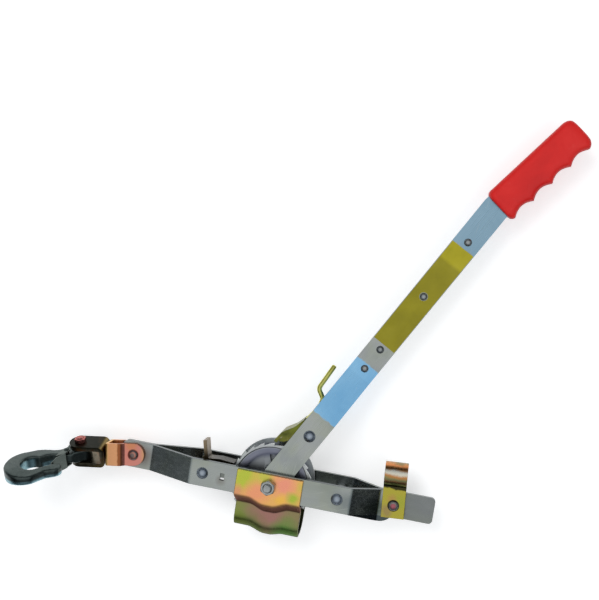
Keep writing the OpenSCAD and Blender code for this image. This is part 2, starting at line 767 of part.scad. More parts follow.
/* Hook end */
module clevis() {
  base = clevis_len - clevis_t / 2;
  half = [[-clevis_w / 2 - 1, clevis_ear], [clevis_step_x, clevis_ear], [clevis_step_x + 4, clevis_half], [base, clevis_half]];
  path = bent_path(concat(half, [for (p = reversed(half)) [p[0], -p[1]]]), 2);
  color("#cf9a72") at_clevis() difference() {
    intersection() {
      sheet_along_y(path, clevis_t, clevis_w + 2);
      linear_extrude(4 * clevis_half, center = true) round_ended(clevis_len + 1, clevis_w);
    }
    cylinder(d = clevis_pin_d + 2 * fit, h = 4 * clevis_half, center = true);
    rotate([0, 90, 0]) cylinder(d = stud_d + 2 * fit, h = 2 * clevis_len);
  }
}
module swivel_yoke() {
  arm = (yoke_gap + yoke_t) / 2;
  base = yoke_base + yoke_t / 2;
  reach = hook_bolt_dist + yoke_w / 2;
  path = bent_path([[reach + 1, arm], [base, arm], [base, -arm], [reach + 1, -arm]], 3.4);
  color("#8f8a58") at_swivel() difference() {
    intersection() {
      sheet_along_y(path, yoke_t, yoke_w + 2);
      linear_extrude(4 * arm, center = true)
        translate([hook_bolt_dist, 0]) round_ended(-hook_bolt_dist, yoke_w);
    }
    translate([hook_bolt_dist, 0, 0]) cylinder(d = hook_bolt_d + 2 * fit, h = 4 * arm, center = true);
    rotate([0, 90, 0]) cylinder(d = stud_d + 2 * fit, h = hook_bolt_dist);
  }
}
module swivel_stud() {
  head_d = stud_d * 1.35;
  inner = clevis_len - clevis_t;
  color("#a58d5c") at_swivel() rotate([0, 90, 0]) {
    translate([0, 0, inner - gap]) cylinder(d = stud_d, h = yoke_base + yoke_t - inner + gap);
    translate([0, 0, inner - gap - 3.6]) cylinder(d = head_d, h = 3.6);
    translate([0, 0, yoke_base + yoke_t]) dome(head_d, 3);
  }
}
module hook_bolt() {
  outer = yoke_gap / 2 + yoke_t;
  color("#a2635a") at_swivel() translate([hook_bolt_dist, 0, 0]) {
    translate([0, 0, -outer - hook_hex_h / 2]) cylinder(d = hook_bolt_d, h = 2 * outer + hook_hex_h * 1.5 + 0.8);
    translate([0, 0, -outer - hook_hex_h]) hex(hook_hex_af, hook_hex_h);
  }
}
module hook_nut() {
  outer = yoke_gap / 2 + yoke_t;
  color("#9c5d57") at_swivel() translate([hook_bolt_dist, 0, outer]) difference() {
    hex(hook_hex_af, hook_hex_h);
    translate([0, 0, -1]) cylinder(d = hook_bolt_d + 2 * fit, h = hook_hex_h + 2);
  }
}

bowl_y = 4;
throat = [bowl_x - 4, bowl_y + 0.5];
hook_point_x = 27;
module hook_outline() {
  back = bowl_y - bowl_outer_r;
  front = bowl_y + bowl_outer_r;
  inside = throat[1] + bowl_inner_r;
  difference() {
    polygon(concat(
      arc([0, 0], hook_eye_r, 95, 255, 20),
      [[3, -hook_eye_r + 0.2], [10, back + 9.3], [18, back + 11.3], [25, back + 9.4], [32, back + 6], [40, back + 2.4]],
      arc([bowl_x, bowl_y], bowl_outer_r, -108, 84, 28),
      [
        [49, front - 1.8], [43.5, front - 2.9], [39, front - 1.6], [35, front - 0.2], [31, front - 0.2],
        [hook_point_x + 1.4, front - 2], [hook_point_x, front - 4.8], [hook_point_x + 1.4, inside + 1.8],
        [34, inside + 0.5], [42, inside + 0.1]
      ],
      arc(throat, bowl_inner_r, 95, -150, 24),
      [[35, -1.4], [29, -0.8], [24, 1.6], [19.5, 5], [14, 8.2], [7, 9]]
    ));
    circle(d = hook_bolt_d + 2 * fit);
    translate(latch_pivot) circle(d = latch_pin_d + 2 * fit);
  }
}
// Where the hook is thinner: along its neck, and towards its point
module hook_thickness() {
  full = hook_t / 2;
  point = hook_point_t / 2;
  front = bowl_y + bowl_outer_r + 1;
  reach = bowl_x + bowl_outer_r + 1;
  along = [[-hook_eye_r - 1, full], [10.4, full], [11.4, neck_side], [22, neck_side], [33, full], [reach, full]];
  across = [[-2 * bowl_outer_r, full], [bowl_y + 2, full], [front - 6, point + 0.6], [front, point]];
  intersection() {
    rotate([90, 0, 0]) linear_extrude(6 * bowl_outer_r, center = true)
      polygon(concat(along, [for (p = reversed(along)) [p[0], -p[1]]]));
    translate([bowl_x, 0, 0]) rotate([90, 0, 90]) linear_extrude(6 * bowl_outer_r, center = true)
      polygon(concat(across, [for (p = reversed(across)) [p[0], -p[1]]]));
  }
}
module hook() {
  color("#6f7874") at_hook() intersection() {
    linear_extrude(hook_t + 1, center = true) hook_outline();
    hook_thickness();
  }
}
module latch_pin() {
  color("#8e938f") at_hook() translate([latch_pivot[0], latch_pivot[1], 0])
    rivet(latch_pin_d, latch_pin_d * 1.7, -latch_out - 0.15, latch_out + 0.15);
}
latch_tip = [34.4, 14.3];
latch_heel = [18.6, 8.4];
module latch_web() {
  strip_profile([latch_heel, latch_tip], latch_t);
}
module latch_cheek() {
  difference() {
    union() {
      translate(latch_pivot) circle(d = latch_pin_d + 4);
      polygon([
        latch_pivot + [-2.4, -2.4], latch_pivot + [2, -3], latch_pivot + [13, 6.3], latch_heel, latch_pivot + [-1.5, 3]
      ]);
    }
    translate(latch_pivot) circle(d = latch_pin_d + 2 * fit);
  }
}
module hook_latch() {
  tip_side = hook_point_t / 2 + 1.2;
  color("#7d8682") at_hook() {
    intersection() {
      linear_extrude(2 * latch_out, center = true) latch_web();
      rotate([90, 0, 0]) linear_extrude(4 * latch_tip[1], center = true) polygon([
        [0, -latch_out], [latch_pivot[0] + 13, -latch_out], [latch_tip[0] + 1, -tip_side],
        [latch_tip[0] + 1, tip_side], [latch_pivot[0] + 13, latch_out], [0, latch_out]
      ]);
    }
    for (s = [0, 1]) mirror([0, 0, s])
      translate([0, 0, latch_in]) linear_extrude(latch_t) latch_cheek();
  }
}
module latch_spring() {
  pts = spring_points(latch_pin_d / 2 + latch_wire / 2 + 0.3, 1.5, 1.05, 130, 1.5, 1.5);
  echo("least gap in latch spring", least_gap(pts, latch_wire));
  color("#8d8f8c") at_hook() translate([latch_pivot[0], latch_pivot[1], latch_spring_z])
    wire_tube(pts, latch_wire);
}

front_side_plate();
rear_side_plate();
rope_guard();
rope_guide();
guide_rivet();
axle_bolt();
axle_nut();
axle_sleeve();
left_frame_rivet();
right_frame_rivet();
left_spacer();
right_spacer();
stop_dog_spring();
clevis_pin();
wheel_front_half();
wheel_rear_half();
wheel_bush();
wheel_rivets();
front_handle_strap();
rear_handle_strap();
handle_rivets();
handle_grip();
label_plate();
drive_dog_pin();
drive_dog_spring();
drive_dog();
finger_rod();
stop_dog();
clevis();
swivel_yoke();
swivel_stud();
hook_bolt();
hook_nut();
hook();
latch_pin();
latch_spring();
hook_latch();
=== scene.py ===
import bpy
import bmesh
import math
from mathutils import Matrix, Vector


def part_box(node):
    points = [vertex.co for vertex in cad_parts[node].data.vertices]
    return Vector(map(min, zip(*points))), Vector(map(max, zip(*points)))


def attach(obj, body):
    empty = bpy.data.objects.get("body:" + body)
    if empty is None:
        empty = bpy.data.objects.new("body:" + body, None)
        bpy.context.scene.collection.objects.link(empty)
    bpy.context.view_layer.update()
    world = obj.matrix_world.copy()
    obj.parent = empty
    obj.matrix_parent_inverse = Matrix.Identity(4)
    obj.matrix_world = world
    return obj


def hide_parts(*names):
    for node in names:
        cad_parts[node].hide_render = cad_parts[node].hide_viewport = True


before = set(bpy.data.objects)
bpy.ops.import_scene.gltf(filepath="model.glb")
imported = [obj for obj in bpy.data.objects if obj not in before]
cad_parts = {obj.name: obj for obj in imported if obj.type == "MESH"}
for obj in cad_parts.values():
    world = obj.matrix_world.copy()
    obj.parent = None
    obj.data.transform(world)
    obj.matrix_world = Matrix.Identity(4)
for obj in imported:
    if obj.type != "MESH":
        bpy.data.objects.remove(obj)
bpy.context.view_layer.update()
print("frame loaded:", len(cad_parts), "nodes")

mm = 0.001
midZ = 32.0  # height of the wheel's middle plane, in mm

rest = {  # how the moving groups stand in the rest pose, in mm and degrees
    "handleTurn": 60.5,
    "gripAlong": 335,
    "gripBend": -8,
    "clevisPin": -140,
    "clevisTurn": 188.5,
    "yokeRoll": 70,
    "hookBolt": 55,
    "hookTurn": 36,
}


def shifted(where, *place):
    return where @ Matrix.Translation(place)


def swung(where, along, degrees, axis="Z"):  # along the X of its parent, then turned
    return shifted(where, along, 0, 0) @ Matrix.Rotation(math.radians(degrees), 4, axis)


toMid = Matrix.Translation((0, 0, midZ))
toHandle = swung(toMid, 0, rest["handleTurn"])
toGrip = swung(toHandle, rest["gripAlong"], rest["gripBend"])
toClevis = swung(toMid, rest["clevisPin"], rest["clevisTurn"])
toSwivel = swung(toClevis, 0, rest["yokeRoll"], "X")
toHook = swung(toSwivel, rest["hookBolt"], rest["hookTurn"])


def link(obj):
    bpy.context.scene.collection.objects.link(obj)
    return obj


def meshPiece(name, points, faces, where=Matrix.Identity(4)):  # points in mm, placed and written in metres
    mesh = bpy.data.meshes.new(name)
    mesh.from_pydata([tuple((where @ Vector(p)) * mm) for p in points], [], faces)
    mesh.update()
    return link(bpy.data.objects.new(name, mesh))


def faceOutwards(obj):
    work = bmesh.new()
    work.from_mesh(obj.data)
    bmesh.ops.remove_doubles(work, verts=work.verts, dist=2e-6)
    bmesh.ops.recalc_face_normals(work, faces=work.faces)
    work.to_mesh(obj.data)
    work.free()
    return obj


def bake(obj):  # turns an object with modifiers into a plain mesh
    graph = bpy.context.evaluated_depsgraph_get()
    mesh = bpy.data.meshes.new_from_object(obj.evaluated_get(graph))
    mesh.name = obj.name
    obj.modifiers.clear()
    obj.data = mesh
    return obj


def smoothSides(obj, angle):
    obj.data.shade_smooth()
    obj.data.set_sharp_from_angle(angle=math.radians(angle))
    return obj


def bevel(obj, width, segments, angle):
    mod = obj.modifiers.new("roundEdges", "BEVEL")
    mod.width = width * mm
    mod.segments = segments
    mod.limit_method = "ANGLE"
    mod.angle_limit = math.radians(angle)
    mod.harden_normals = True
    mod.miter_outer = "MITER_ARC"
    return obj


def cleanCopy(node, name):  # a merged copy of a CAD node, with its flat faces whole again
    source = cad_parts[node].data
    mesh = bpy.data.meshes.new(name)
    mesh.from_pydata([tuple(v.co) for v in source.vertices], [], [tuple(p.vertices) for p in source.polygons])
    work = bmesh.new()
    work.from_mesh(mesh)
    bmesh.ops.remove_doubles(work, verts=work.verts, dist=3e-6)
    bmesh.ops.dissolve_degenerate(work, edges=work.edges, dist=2e-6)
    bmesh.ops.dissolve_limit(work, angle_limit=math.radians(0.5), verts=work.verts, edges=work.edges)
    work.to_mesh(mesh)
    work.free()
    return smoothSides(link(bpy.data.objects.new(name, mesh)), 30)


def finish(obj, body, slotName, look, *nodes):
    obj.data.materials.clear()
    obj.data.materials.append(look)
    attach(obj, body)
    if nodes:
        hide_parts(*nodes)
    return obj


def writeNumbers(obj, name, values):  # one number for each point, for a finish to read
    obj.data.attributes.new(name, "FLOAT", "POINT").data.foreach_set("value", values)


def paintPoints(obj, name, where, rule):  # numbers worked out at each point in the given frame, in mm
    back = where.inverted()
    writeNumbers(obj, name, [rule(back @ (v.co / mm)) for v in obj.data.vertices])


def camel(node):
    first, *others = node.split("_")
    return first + "".join(word.title() for word in others)


def roundedNode(node, body, slotName, look, width, segments=2, angle=30, name=None):
    # a copy of a CAD node with its edges rounded, put in the node's place
    obj = cleanCopy(node, name or camel(node))
    bevel(obj, width, segments, angle)
    bake(obj)
    return finish(obj, body, slotName, look, node)


def rowFaces(rows, around, capped=True, looped=False):  # faces between rings of points, each joined to the next
    faces = []
    for i in range(rows if looped else rows - 1):
        j = (i + 1) % rows
        for k in range(around):
            n = (k + 1) % around
            faces.append((i * around + k, i * around + n, j * around + n, j * around + k))
    if capped:
        faces.append(tuple(range(around - 1, -1, -1)))
        faces.append(tuple((rows - 1) * around + k for k in range(around)))
    return faces


def tubeAlong(name, path, radius, where, sides):  # a round bar or wire along points in mm, with domed ends
    dome, shoulder, rise = 0.35, 0.72, 0.9  # a dome's height, and its shoulder's radius and height, as shares
    points = []
    count = len(path)
    path = [Vector(p) for p in path]
    side = None
    for i, p in enumerate(path):
        along = (path[min(i + 1, count - 1)] - path[max(i - 1, 0)]).normalized()
        if side is None:
            side = along.orthogonal().normalized()
        side = (side - along * side.dot(along)).normalized()
        other = along.cross(side)
        for k in range(sides):
            a = 2 * math.pi * k / sides
            points.append(p + (side * math.cos(a) + other * math.sin(a)) * radius)
    faces = rowFaces(count, sides, capped=False)
    for base, end, inner in ((0, path[0], path[1]), ((count - 1) * sides, path[-1], path[-2])):
        tip = end + (end - inner).normalized() * radius * dome
        ring = len(points)
        points += [end.lerp(points[base + k], shoulder) + (tip - end) * rise for k in range(sides)]
        points.append(tip)
        for k in range(sides):
            a, b = base + k, base + (k + 1) % sides
            c, d = ring + (k + 1) % sides, ring + k
            faces.append((a, b, c, d) if base else (b, a, d, c))
            faces.append((d, c, len(points) - 1) if base else (c, d, len(points) - 1))
    return smoothSides(faceOutwards(meshPiece(name, points, faces, where)), 50)


def roundCorners(points, radius, steps):  # a path in the plane with its corners rounded
    points = [Vector(p).to_3d() for p in points]
    out = [points[0]]
    for a, b, c in zip(points, points[1:], points[2:]):
        u, v = (a - b).normalized(), (c - b).normalized()
        half = u.angle(v) / 2
        cut = min(radius / math.tan(half), 0.49 * (a - b).length, 0.49 * (c - b).length)
        p, q = b + u * cut, b + v * cut
        for i in range(steps + 1):
            t = i / steps
            out.append(p * (1 - t) ** 2 + b * 2 * t * (1 - t) + q * t * t)
    out.append(points[-1])
    return out


def tone(r, g, b):  # a colour as seen, 0 to 255, as Blender's linear values
    def one(c):
        c /= 255
        return c / 12.92 if c <= 0.04045 else ((c + 0.055) / 1.055) ** 2.4
    return (one(r), one(g), one(b), 1.0)


def grey(level):  # a shading factor, the same for all three colours
    return (level, level, level, 1)


def fillRamp(node, stops):
    bar = node.color_ramp.elements
    while len(bar) < len(stops):
        bar.new(0.5)
    for element, (at, colour) in zip(bar, stops):
        element.position = at
        element.color = colour


class Finish:  # one material and the few kinds of node that it is built from
    def __init__(self, name, metallic=1.0, **fixed):
        self.look = bpy.data.materials.new(name)
        self.look.use_nodes = True
        self.tree = self.look.node_tree
        self.shader = self.tree.nodes["Principled BSDF"]
        self.shader.inputs["Metallic"].default_value = metallic
        for key, value in fixed.items():
            self.shader.inputs[key.replace("_", " ")].default_value = value
        self.place = self.add("ShaderNodeTexCoord").outputs["Object"]

    def add(self, kind, **fields):
        node = self.tree.nodes.new(kind)
        for key, value in fields.items():
            setattr(node, key, value)
        return node

    def join(self, a, b):
        self.tree.links.new(a, b)

    def turned(self, degrees, stretch=(1, 1, 1)):  # the object's place turned about Z, then stretched
        spin, scaled = (self.add("ShaderNodeMapping", vector_type="POINT") for _ in range(2))
        spin.inputs["Rotation"].default_value = (0, 0, math.radians(-degrees))
        scaled.inputs["Scale"].default_value = stretch
        self.join(self.place, spin.inputs["Vector"])
        self.join(spin.outputs["Vector"], scaled.inputs["Vector"])
        return scaled.outputs["Vector"]

    def cloud(self, scale, detail=3.0, rough=0.55, warp=0.0, place=None, result="Fac"):
        node = self.add("ShaderNodeTexNoise")
        for key, value in (("Scale", scale), ("Detail", detail), ("Roughness", rough), ("Distortion", warp)):
            node.inputs[key].default_value = value
        self.join(place or self.place, node.inputs["Vector"])
        return node.outputs[result]

    def ramp(self, factor, stops, smooth=False):
        node = self.add("ShaderNodeValToRGB")
        node.color_ramp.interpolation = "EASE" if smooth else "LINEAR"
        fillRamp(node, stops)
        self.join(factor, node.inputs["Fac"])
        return node.outputs["Color"]

    def tones(self, factor, stops, smooth=False):  # a ramp between colours as seen
        return self.ramp(factor, [(at, tone(*colour)) for at, colour in stops], smooth)

    def math(self, operation, a, b=None):
        node = self.add("ShaderNodeMath", operation=operation)
        for socket, value in zip(node.inputs, (a, b)):
            if value is None:
                continue
            if isinstance(value, (int, float)):
                socket.default_value = value
            else:
                self.join(value, socket)
        return node.outputs["Value"]

    def spread(self, value, low, high, to=(0.0, 1.0)):
        node = self.add("ShaderNodeMapRange")
        node.clamp = True
        for key, number in (("From Min", low), ("From Max", high), ("To Min", to[0]), ("To Max", to[1])):
            node.inputs[key].default_value = number
        self.join(value, node.inputs["Value"])
        return node.outputs["Result"]

    def mix(self, factor, a, b, kind="MIX"):
        node = self.add("ShaderNodeMix", data_type="RGBA", blend_type=kind)
        for socket, value in zip((node.inputs[0], node.inputs[6], node.inputs[7]), (factor, a, b)):
            if isinstance(value, (int, float, tuple)):
                socket.default_value = value
            else:
                self.join(value, socket)
        return node.outputs[2]

    def times(self, a, b):
        return self.mix(1.0, a, b, "MULTIPLY")

    def level(self):  # X and Y of the place, without its height
        split, pair = self.add("ShaderNodeSeparateXYZ"), self.add("ShaderNodeCombineXYZ")
        self.join(self.place, split.inputs["Vector"])
        for letter in "XY":
            self.join(split.outputs[letter], pair.inputs[letter])
        return pair.outputs["Vector"]

    def flat(self, wobble, scale):  # the same, pushed about by a soft noise, in metres
        centred = self.add("ShaderNodeVectorMath", operation="SUBTRACT")
        centred.inputs[1].default_value = (0.5, 0.5, 0.5)
        self.join(self.cloud(scale, 2.0, 0.5, result="Color"), centred.inputs[0])
        pushed = self.add("ShaderNodeVectorMath", operation="MULTIPLY_ADD")
        pushed.inputs[1].default_value = (wobble, wobble, 0)
        self.join(centred.outputs["Vector"], pushed.inputs[0])
        self.join(self.level(), pushed.inputs[2])
        return pushed.outputs["Vector"]

    def wavy(self, value, scale, detail, amount):  # a distance along an axis, pushed about by a soft noise
        push = self.math("MULTIPLY", self.math("SUBTRACT", self.cloud(scale, detail), 0.5), amount)
        return self.math("ADD", value, push)

    def disc(self, place, centre, outer, inner):  # 0 beyond the outer radius, 1 within the inner one, in mm
        far = self.add("ShaderNodeVectorMath", operation="DISTANCE")
        self.join(place, far.inputs[0])
        far.inputs[1].default_value = (centre[0] * mm, centre[1] * mm, 0)
        return self.spread(far.outputs["Value"], outer * mm, inner * mm)

    def patches(self, base, place, spots, amount=0.9):  # soft round spots: centre and radius in mm, then a colour
        for centre, radius, colour in spots:
            near = self.disc(place, centre, radius, radius * 0.3)
            base = self.mix(self.math("MULTIPLY", near, amount), base, tone(*colour))
        return base

    def painted(self, name):  # a number that the mesh carries at its points
        return self.add("ShaderNodeAttribute", attribute_name=name).outputs["Fac"]

    def axis(self, letter, place=None):
        node = self.add("ShaderNodeSeparateXYZ")
        self.join(place or self.place, node.inputs["Vector"])
        return node.outputs[letter]

    def colour(self, socket):
        self.join(socket, self.shader.inputs["Base Color"])

    def roughness(self, socket):
        self.join(socket, self.shader.inputs["Roughness"])

    def bump(self, height, depth, strength):
        node = self.add("ShaderNodeBump")
        node.inputs["Strength"].default_value = strength
        node.inputs["Distance"].default_value = depth * mm
        self.join(height, node.inputs["Height"])
        self.join(node.outputs["Normal"], self.shader.inputs["Normal"])

    def speckled(self, base, scale, rough, shades=(0.95, 1.03), depth=0.006, strength=0.5, dull=None):
        # a fine mottle that runs through the colour, the polish and the surface
        fine = self.cloud(scale, 3, 0.6)
        shade = self.ramp(fine, [(0.35, grey(shades[0])), (0.7, grey(shades[1]))])
        self.colour(self.times(base, shade))
        polish = self.spread(fine, 0.3, 0.7, rough)
        self.roughness(self.math("ADD", polish, dull) if dull else polish)
        self.bump(fine, depth, strength)


strapLook = {  # plated strap steel
    "light": (174, 179, 174),
    "middle": (164, 170, 165),
    "dark": (148, 155, 151),
    "scratch": (200, 203, 198),
    "cutEdgeAndShade": (78, 87, 88),
    "rough": (0.20, 0.31),
}
# the rear plate's colours, darker than the front plate's: painted shade from the front plate lying over it
shadedRearStrapLook = dict(strapLook, light=(138, 143, 139), middle=(130, 135, 131), dark=(116, 122, 119))


def platedStrap(name, angle, bands=(), look=strapLook, patches=(), edge=None):
    # clear zinc on rolled strap, with bands of bluish painted reflection; edge is half the strap's width in mm
    f = Finish(name)
    cloud = f.cloud(22, 3, 0.5, 0.6)
    grain = f.cloud(1.0, 3, 0.6, 0.0, f.turned(angle, (14, 420, 420)))
    scratch = f.spread(f.cloud(1.0, 2, 0.5, 0.0, f.turned(angle + 21, (30, 900, 900))), 0.68, 0.75)
    base = f.tones(cloud, [(0.30, look["dark"]), (0.50, look["middle"]), (0.72, look["light"])])
    hue = f.ramp(f.cloud(30, 2, 0.5, 1.0), [
        (0.32, (1.0, 1.0, 0.93, 1)), (0.5, grey(1)), (0.68, (0.97, 0.96, 1.02, 1))])
    streak = f.ramp(grain, [(0.3, grey(0.95)), (0.7, grey(1.03))])
    base = f.times(f.times(base, streak), hue)
    if bands:
        along = f.wavy(f.axis("X", f.turned(angle)), 160, 3, 0.004)
    soft = 0.0006  # half the width of a band's blurred end, in metres
    # each band is a sky-blue painted reflection
    for start, end, low, high in bands:
        inside = f.math("MULTIPLY", f.spread(along, start - soft, start + soft),
                        f.spread(along, end + soft, end - soft))
        tint = f.tones(cloud, [(0.30, low), (0.62, high)])
        base = f.mix(f.math("MULTIPLY", inside, 0.97), base, tint)
    if patches:
        base = f.patches(base, f.flat(0.004, 90), patches, 0.8)
    base = f.mix(f.math("MULTIPLY", scratch, 0.25), base, tone(*look["scratch"]))
    if edge:  # the sheared edges painted darker: partly their own duller cut zinc, partly painted shade along the edges
        side = f.math("ABSOLUTE", f.axis("Y", f.turned(angle)))
        base = f.mix(f.spread(side, (edge - 0.25) * mm, (edge - 0.1) * mm), base, tone(*look["cutEdgeAndShade"]))
    f.colour(base)
    f.roughness(f.spread(f.math("ADD", grain, f.math("MULTIPLY", cloud, 0.5)), 0.45, 1.05, look["rough"]))
    f.bump(f.math("ADD", grain, f.math("MULTIPLY", scratch, -0.5)), 0.0025, 0.4)
    return f.look


def chromateFinish(name, stops, scale, warp, rough=(0.26, 0.42), patches=()):  # iridescent chromate over zinc
    f = Finish(name)
    base = f.tones(f.cloud(scale, 2.5, 0.5, warp), stops, True)
    if patches:
        base = f.patches(base, f.flat(0.003, 120), patches)
    f.speckled(base, scale * 9, rough)
    return f.look


guardLook = {  # chromate colours over the guard: place and radius in mm, then the colour
    "ear": (250, 192, 112),
    "earPatches": [
        ((-25, 5), 17, (192, 210, 77)), ((-29, -9), 9, (236, 166, 123)), ((-10, -8), 15, (255, 169, 129)),
        ((-5, 9), 11, (208, 208, 92)), ((14, 4), 16, (255, 164, 140)), ((13, -10), 7, (255, 201, 92)),
        ((25, -8), 9, (175, 201, 73)), ((31, 4), 7, (227, 197, 101))],
    "skirt": (150, 136, 98),
    "skirtPatches": [
        ((-28, -32), 16, (138, 152, 80)), ((2, -28), 22, (172, 124, 116)), ((24, -30), 10, (150, 140, 98)),
        ((22, -45), 20, (104, 150, 70)), ((-12, -48), 22, (112, 132, 66)), ((-24, -40), 12, (124, 138, 64))],
    # crease: painted shade where the crease turns down, partly the chromate's own browner bend; under: painted
    # shade where the hem turns under and on the back wall
    "crease": (150, 106, 90),
    "under": (54, 58, 30),
}


def guardFinish(look):  # iridescent yellow chromate, with a brown band of painted shade along the crease over the chromate's own browner bend, and painted shade where the hem turns under
    f = Finish("yellowZinc")
    place = f.flat(0.010, 70)
    ear = f.patches(tone(*look["ear"]), place, look["earPatches"])
    skirt = f.patches(tone(*look["skirt"]), place, look["skirtPatches"])
    base = f.mix(f.painted("skirt"), ear, skirt)
    for name in ("crease", "under"):
        base = f.mix(f.painted(name), base, tone(*look[name]))
    dull = f.math("MULTIPLY", f.math("MAXIMUM", f.painted("crease"), f.painted("hem")), 0.34)
    f.speckled(base, 420, (0.25, 0.34), (0.96, 1.03), 0.006, 0.4, dull)
    return f.look


def guideFinish():  # chromate in bands across the arch, with a white painted highlight on it and painted shade at the fold; patches on its foot
    f = Finish("guideZinc")
    y = f.wavy(f.axis("Y"), 130, 2, 0.004)
    # the dark stops at the bottom are painted shade at the fold; the white stops are a painted highlight
    arch = f.tones(f.spread(y, 0.014, 0.044), [
        (0.10, (60, 58, 38)), (0.17, (70, 66, 42)), (0.235, (126, 136, 78)), (0.335, (176, 126, 84)),
        (0.405, (136, 140, 96)), (0.51, (196, 136, 80)), (0.59, (222, 218, 200)),
        (0.66, (226, 222, 206)), (0.73, (196, 136, 80)), (0.82, (230, 150, 96)),
        (0.90, (120, 122, 84)), (1.0, (104, 116, 82))])
    place = f.flat(0.008, 90)
    foot = f.patches(tone(186, 176, 72), place, [
        ((112, -6), 9, (164, 140, 96)), ((124, 4), 9, (170, 176, 70))], 0.8)
    foot = f.patches(foot, place, [((116, 6), 6, (190, 150, 92))], 0.7)
    f.speckled(f.mix(f.spread(y, 0.0154, 0.0166), foot, arch), 520, (0.24, 0.34))
    return f.look


yellowZinc = guardFinish(guardLook)
guideZinc = guideFinish()


def clevisFinish():  # copper-toned chromate: gold by the bend, salmon round the pin, with painted shade in dark brown at the U-bend and at the joggle
    f = Finish("copperZinc")
    along = f.wavy(f.axis("X", f.turned(rest["clevisTurn"] - 180)), 150, 2, 0.0022)
    # the darkest stops at the U-bend and the brown ones at the joggle are painted shade
    base = f.tones(f.spread(along, -0.172, -0.122), [
        (0.04, (92, 56, 48)), (0.11, (110, 68, 58)), (0.145, (250, 202, 122)), (0.20, (238, 174, 124)),
        (0.36, (236, 172, 124)), (0.385, (160, 98, 60)), (0.445, (168, 102, 68)),
        (0.475, (228, 147, 131)), (0.80, (226, 149, 136)), (0.88, (226, 168, 126)),
        (0.95, (150, 142, 104))])
    base = f.patches(base, f.flat(0.004, 120), [((-143, 9), 8, (226, 150, 104))], 0.8)
    f.speckled(base, 420, (0.30, 0.42), (0.94, 1.04), 0.008)
    return f.look


def pinFinish(name, centre, rings):  # a staked head, toned in rings from the outside inwards: radius in mm, colour; partly the head's own chromate tones, partly painted shade and highlight of its dome
    f = Finish(name)
    outer = rings[0][1]
    base = f.tones(f.cloud(300, 3), [(0.3, [c * 0.9 for c in outer]), (0.7, outer)])
    place = f.flat(0.0006, 400)
    for radius, colour in rings[1:]:
        base = f.mix(f.disc(place, centre, radius + 0.4, radius - 0.4), base, tone(*colour))
    f.colour(base)
    f.roughness(f.spread(f.cloud(500, 3), 0.3, 0.7, (0.26, 0.42)))
    f.bump(f.cloud(700, 3), 0.01, 0.6)
    return f.look


copperZinc = clevisFinish()
# the rings are partly chromate tones, partly painted shade and highlight: the guide rivet's dark outer ring is
# painted shade, its pale ring a painted highlight
clevisPinZinc = pinFinish("clevisPinZinc", (-140, 0), [
    (6, (204, 134, 118)), (4.8, (150, 142, 140)), (3.6, (206, 142, 124)), (2.2, (128, 112, 108))])
guideRivetZinc = pinFinish("guideRivetZinc", (118.4, 0), [
    (7, (92, 90, 82)), (4.6, (170, 166, 160)), (2.7, (176, 104, 112))])
oliveZinc = chromateFinish("oliveZinc", [
    (0.25, (62, 66, 40)), (0.42, (84, 82, 48)), (0.56, (118, 98, 66)), (0.70, (126, 88, 66)),
    (0.85, (150, 116, 78))], 60, 1.6)


def yokeFinish():  # dark olive outside, tan over the bends, grey-brown between the arms
    f = Finish("yokeZinc")
    cloud = f.cloud(90, 3, 0.55, 0.8)
    outer = f.tones(cloud, [(0.3, (18, 21, 12)), (0.55, (25, 26, 15)), (0.75, (46, 38, 24))])
    inner = f.tones(cloud, [(0.3, (104, 92, 74)), (0.5, (142, 132, 112)), (0.7, (140, 92, 58))])
    base = f.mix(f.painted("inside"), outer, inner)
    base = f.mix(f.math("MULTIPLY", f.painted("bendEdge"), 0.9), base, tone(136, 116, 72))
    fine = f.cloud(500, 3, 0.6)
    f.colour(base)
    f.roughness(f.spread(fine, 0.3, 0.7, (0.28, 0.42)))
    f.bump(fine, 0.012, 0.5)
    return f.look


yokeZinc = yokeFinish()
dogZinc = chromateFinish("dogZinc", [
    (0.25, (84, 90, 44)), (0.45, (108, 112, 54)), (0.62, (138, 134, 66)), (0.82, (104, 96, 54))],
    55, 1.0, (0.26, 0.42), [((18, 56), 9, (128, 136, 52))])
rodZinc = chromateFinish("rodZinc", [
    (0.25, (192, 188, 92)), (0.5, (216, 214, 118)), (0.75, (202, 192, 104))], 90, 0.8)
# a lighter spot on the finger is painted light, and a dark spot over the arm is painted shade between the plates
brownZinc = chromateFinish("brownZinc", [
    (0.25, (70, 60, 44)), (0.45, (94, 80, 58)), (0.62, (122, 106, 78)), (0.82, (84, 70, 52))],
    70, 1.0, (0.26, 0.42), [((-72, 23), 12, (150, 134, 110)), ((-48, 12), 27, (34, 33, 26))])
redZinc = chromateFinish("redZinc", [
    (0.25, (136, 82, 78)), (0.5, (184, 110, 104)), (0.75, (156, 102, 88))], 110, 1.0, (0.22, 0.36))


def forgedFinish(name, dark, light, scale, paintedReflection=None):
    # plated forging: broad clouding and fine pitting; the optional pair names a painted number and the colour of
    # the painted reflection it lays on
    f = Finish(name)
    cloud = f.cloud(scale, 4, 0.6, 0.6)
    pits = f.cloud(scale * 16, 3, 0.65)
    base = f.tones(cloud, [(0.30, dark), (0.70, light)])
    if paintedReflection:
        base = f.mix(f.painted(paintedReflection[0]), base, tone(*paintedReflection[1]))
    shade = f.ramp(pits, [(0.32, grey(0.72)), (0.55, grey(1.0))])
    f.colour(f.times(base, shade))
    f.roughness(f.spread(cloud, 0.3, 0.7, (0.26, 0.44)))
    f.bump(pits, 0.05, 0.7)
    return f.look


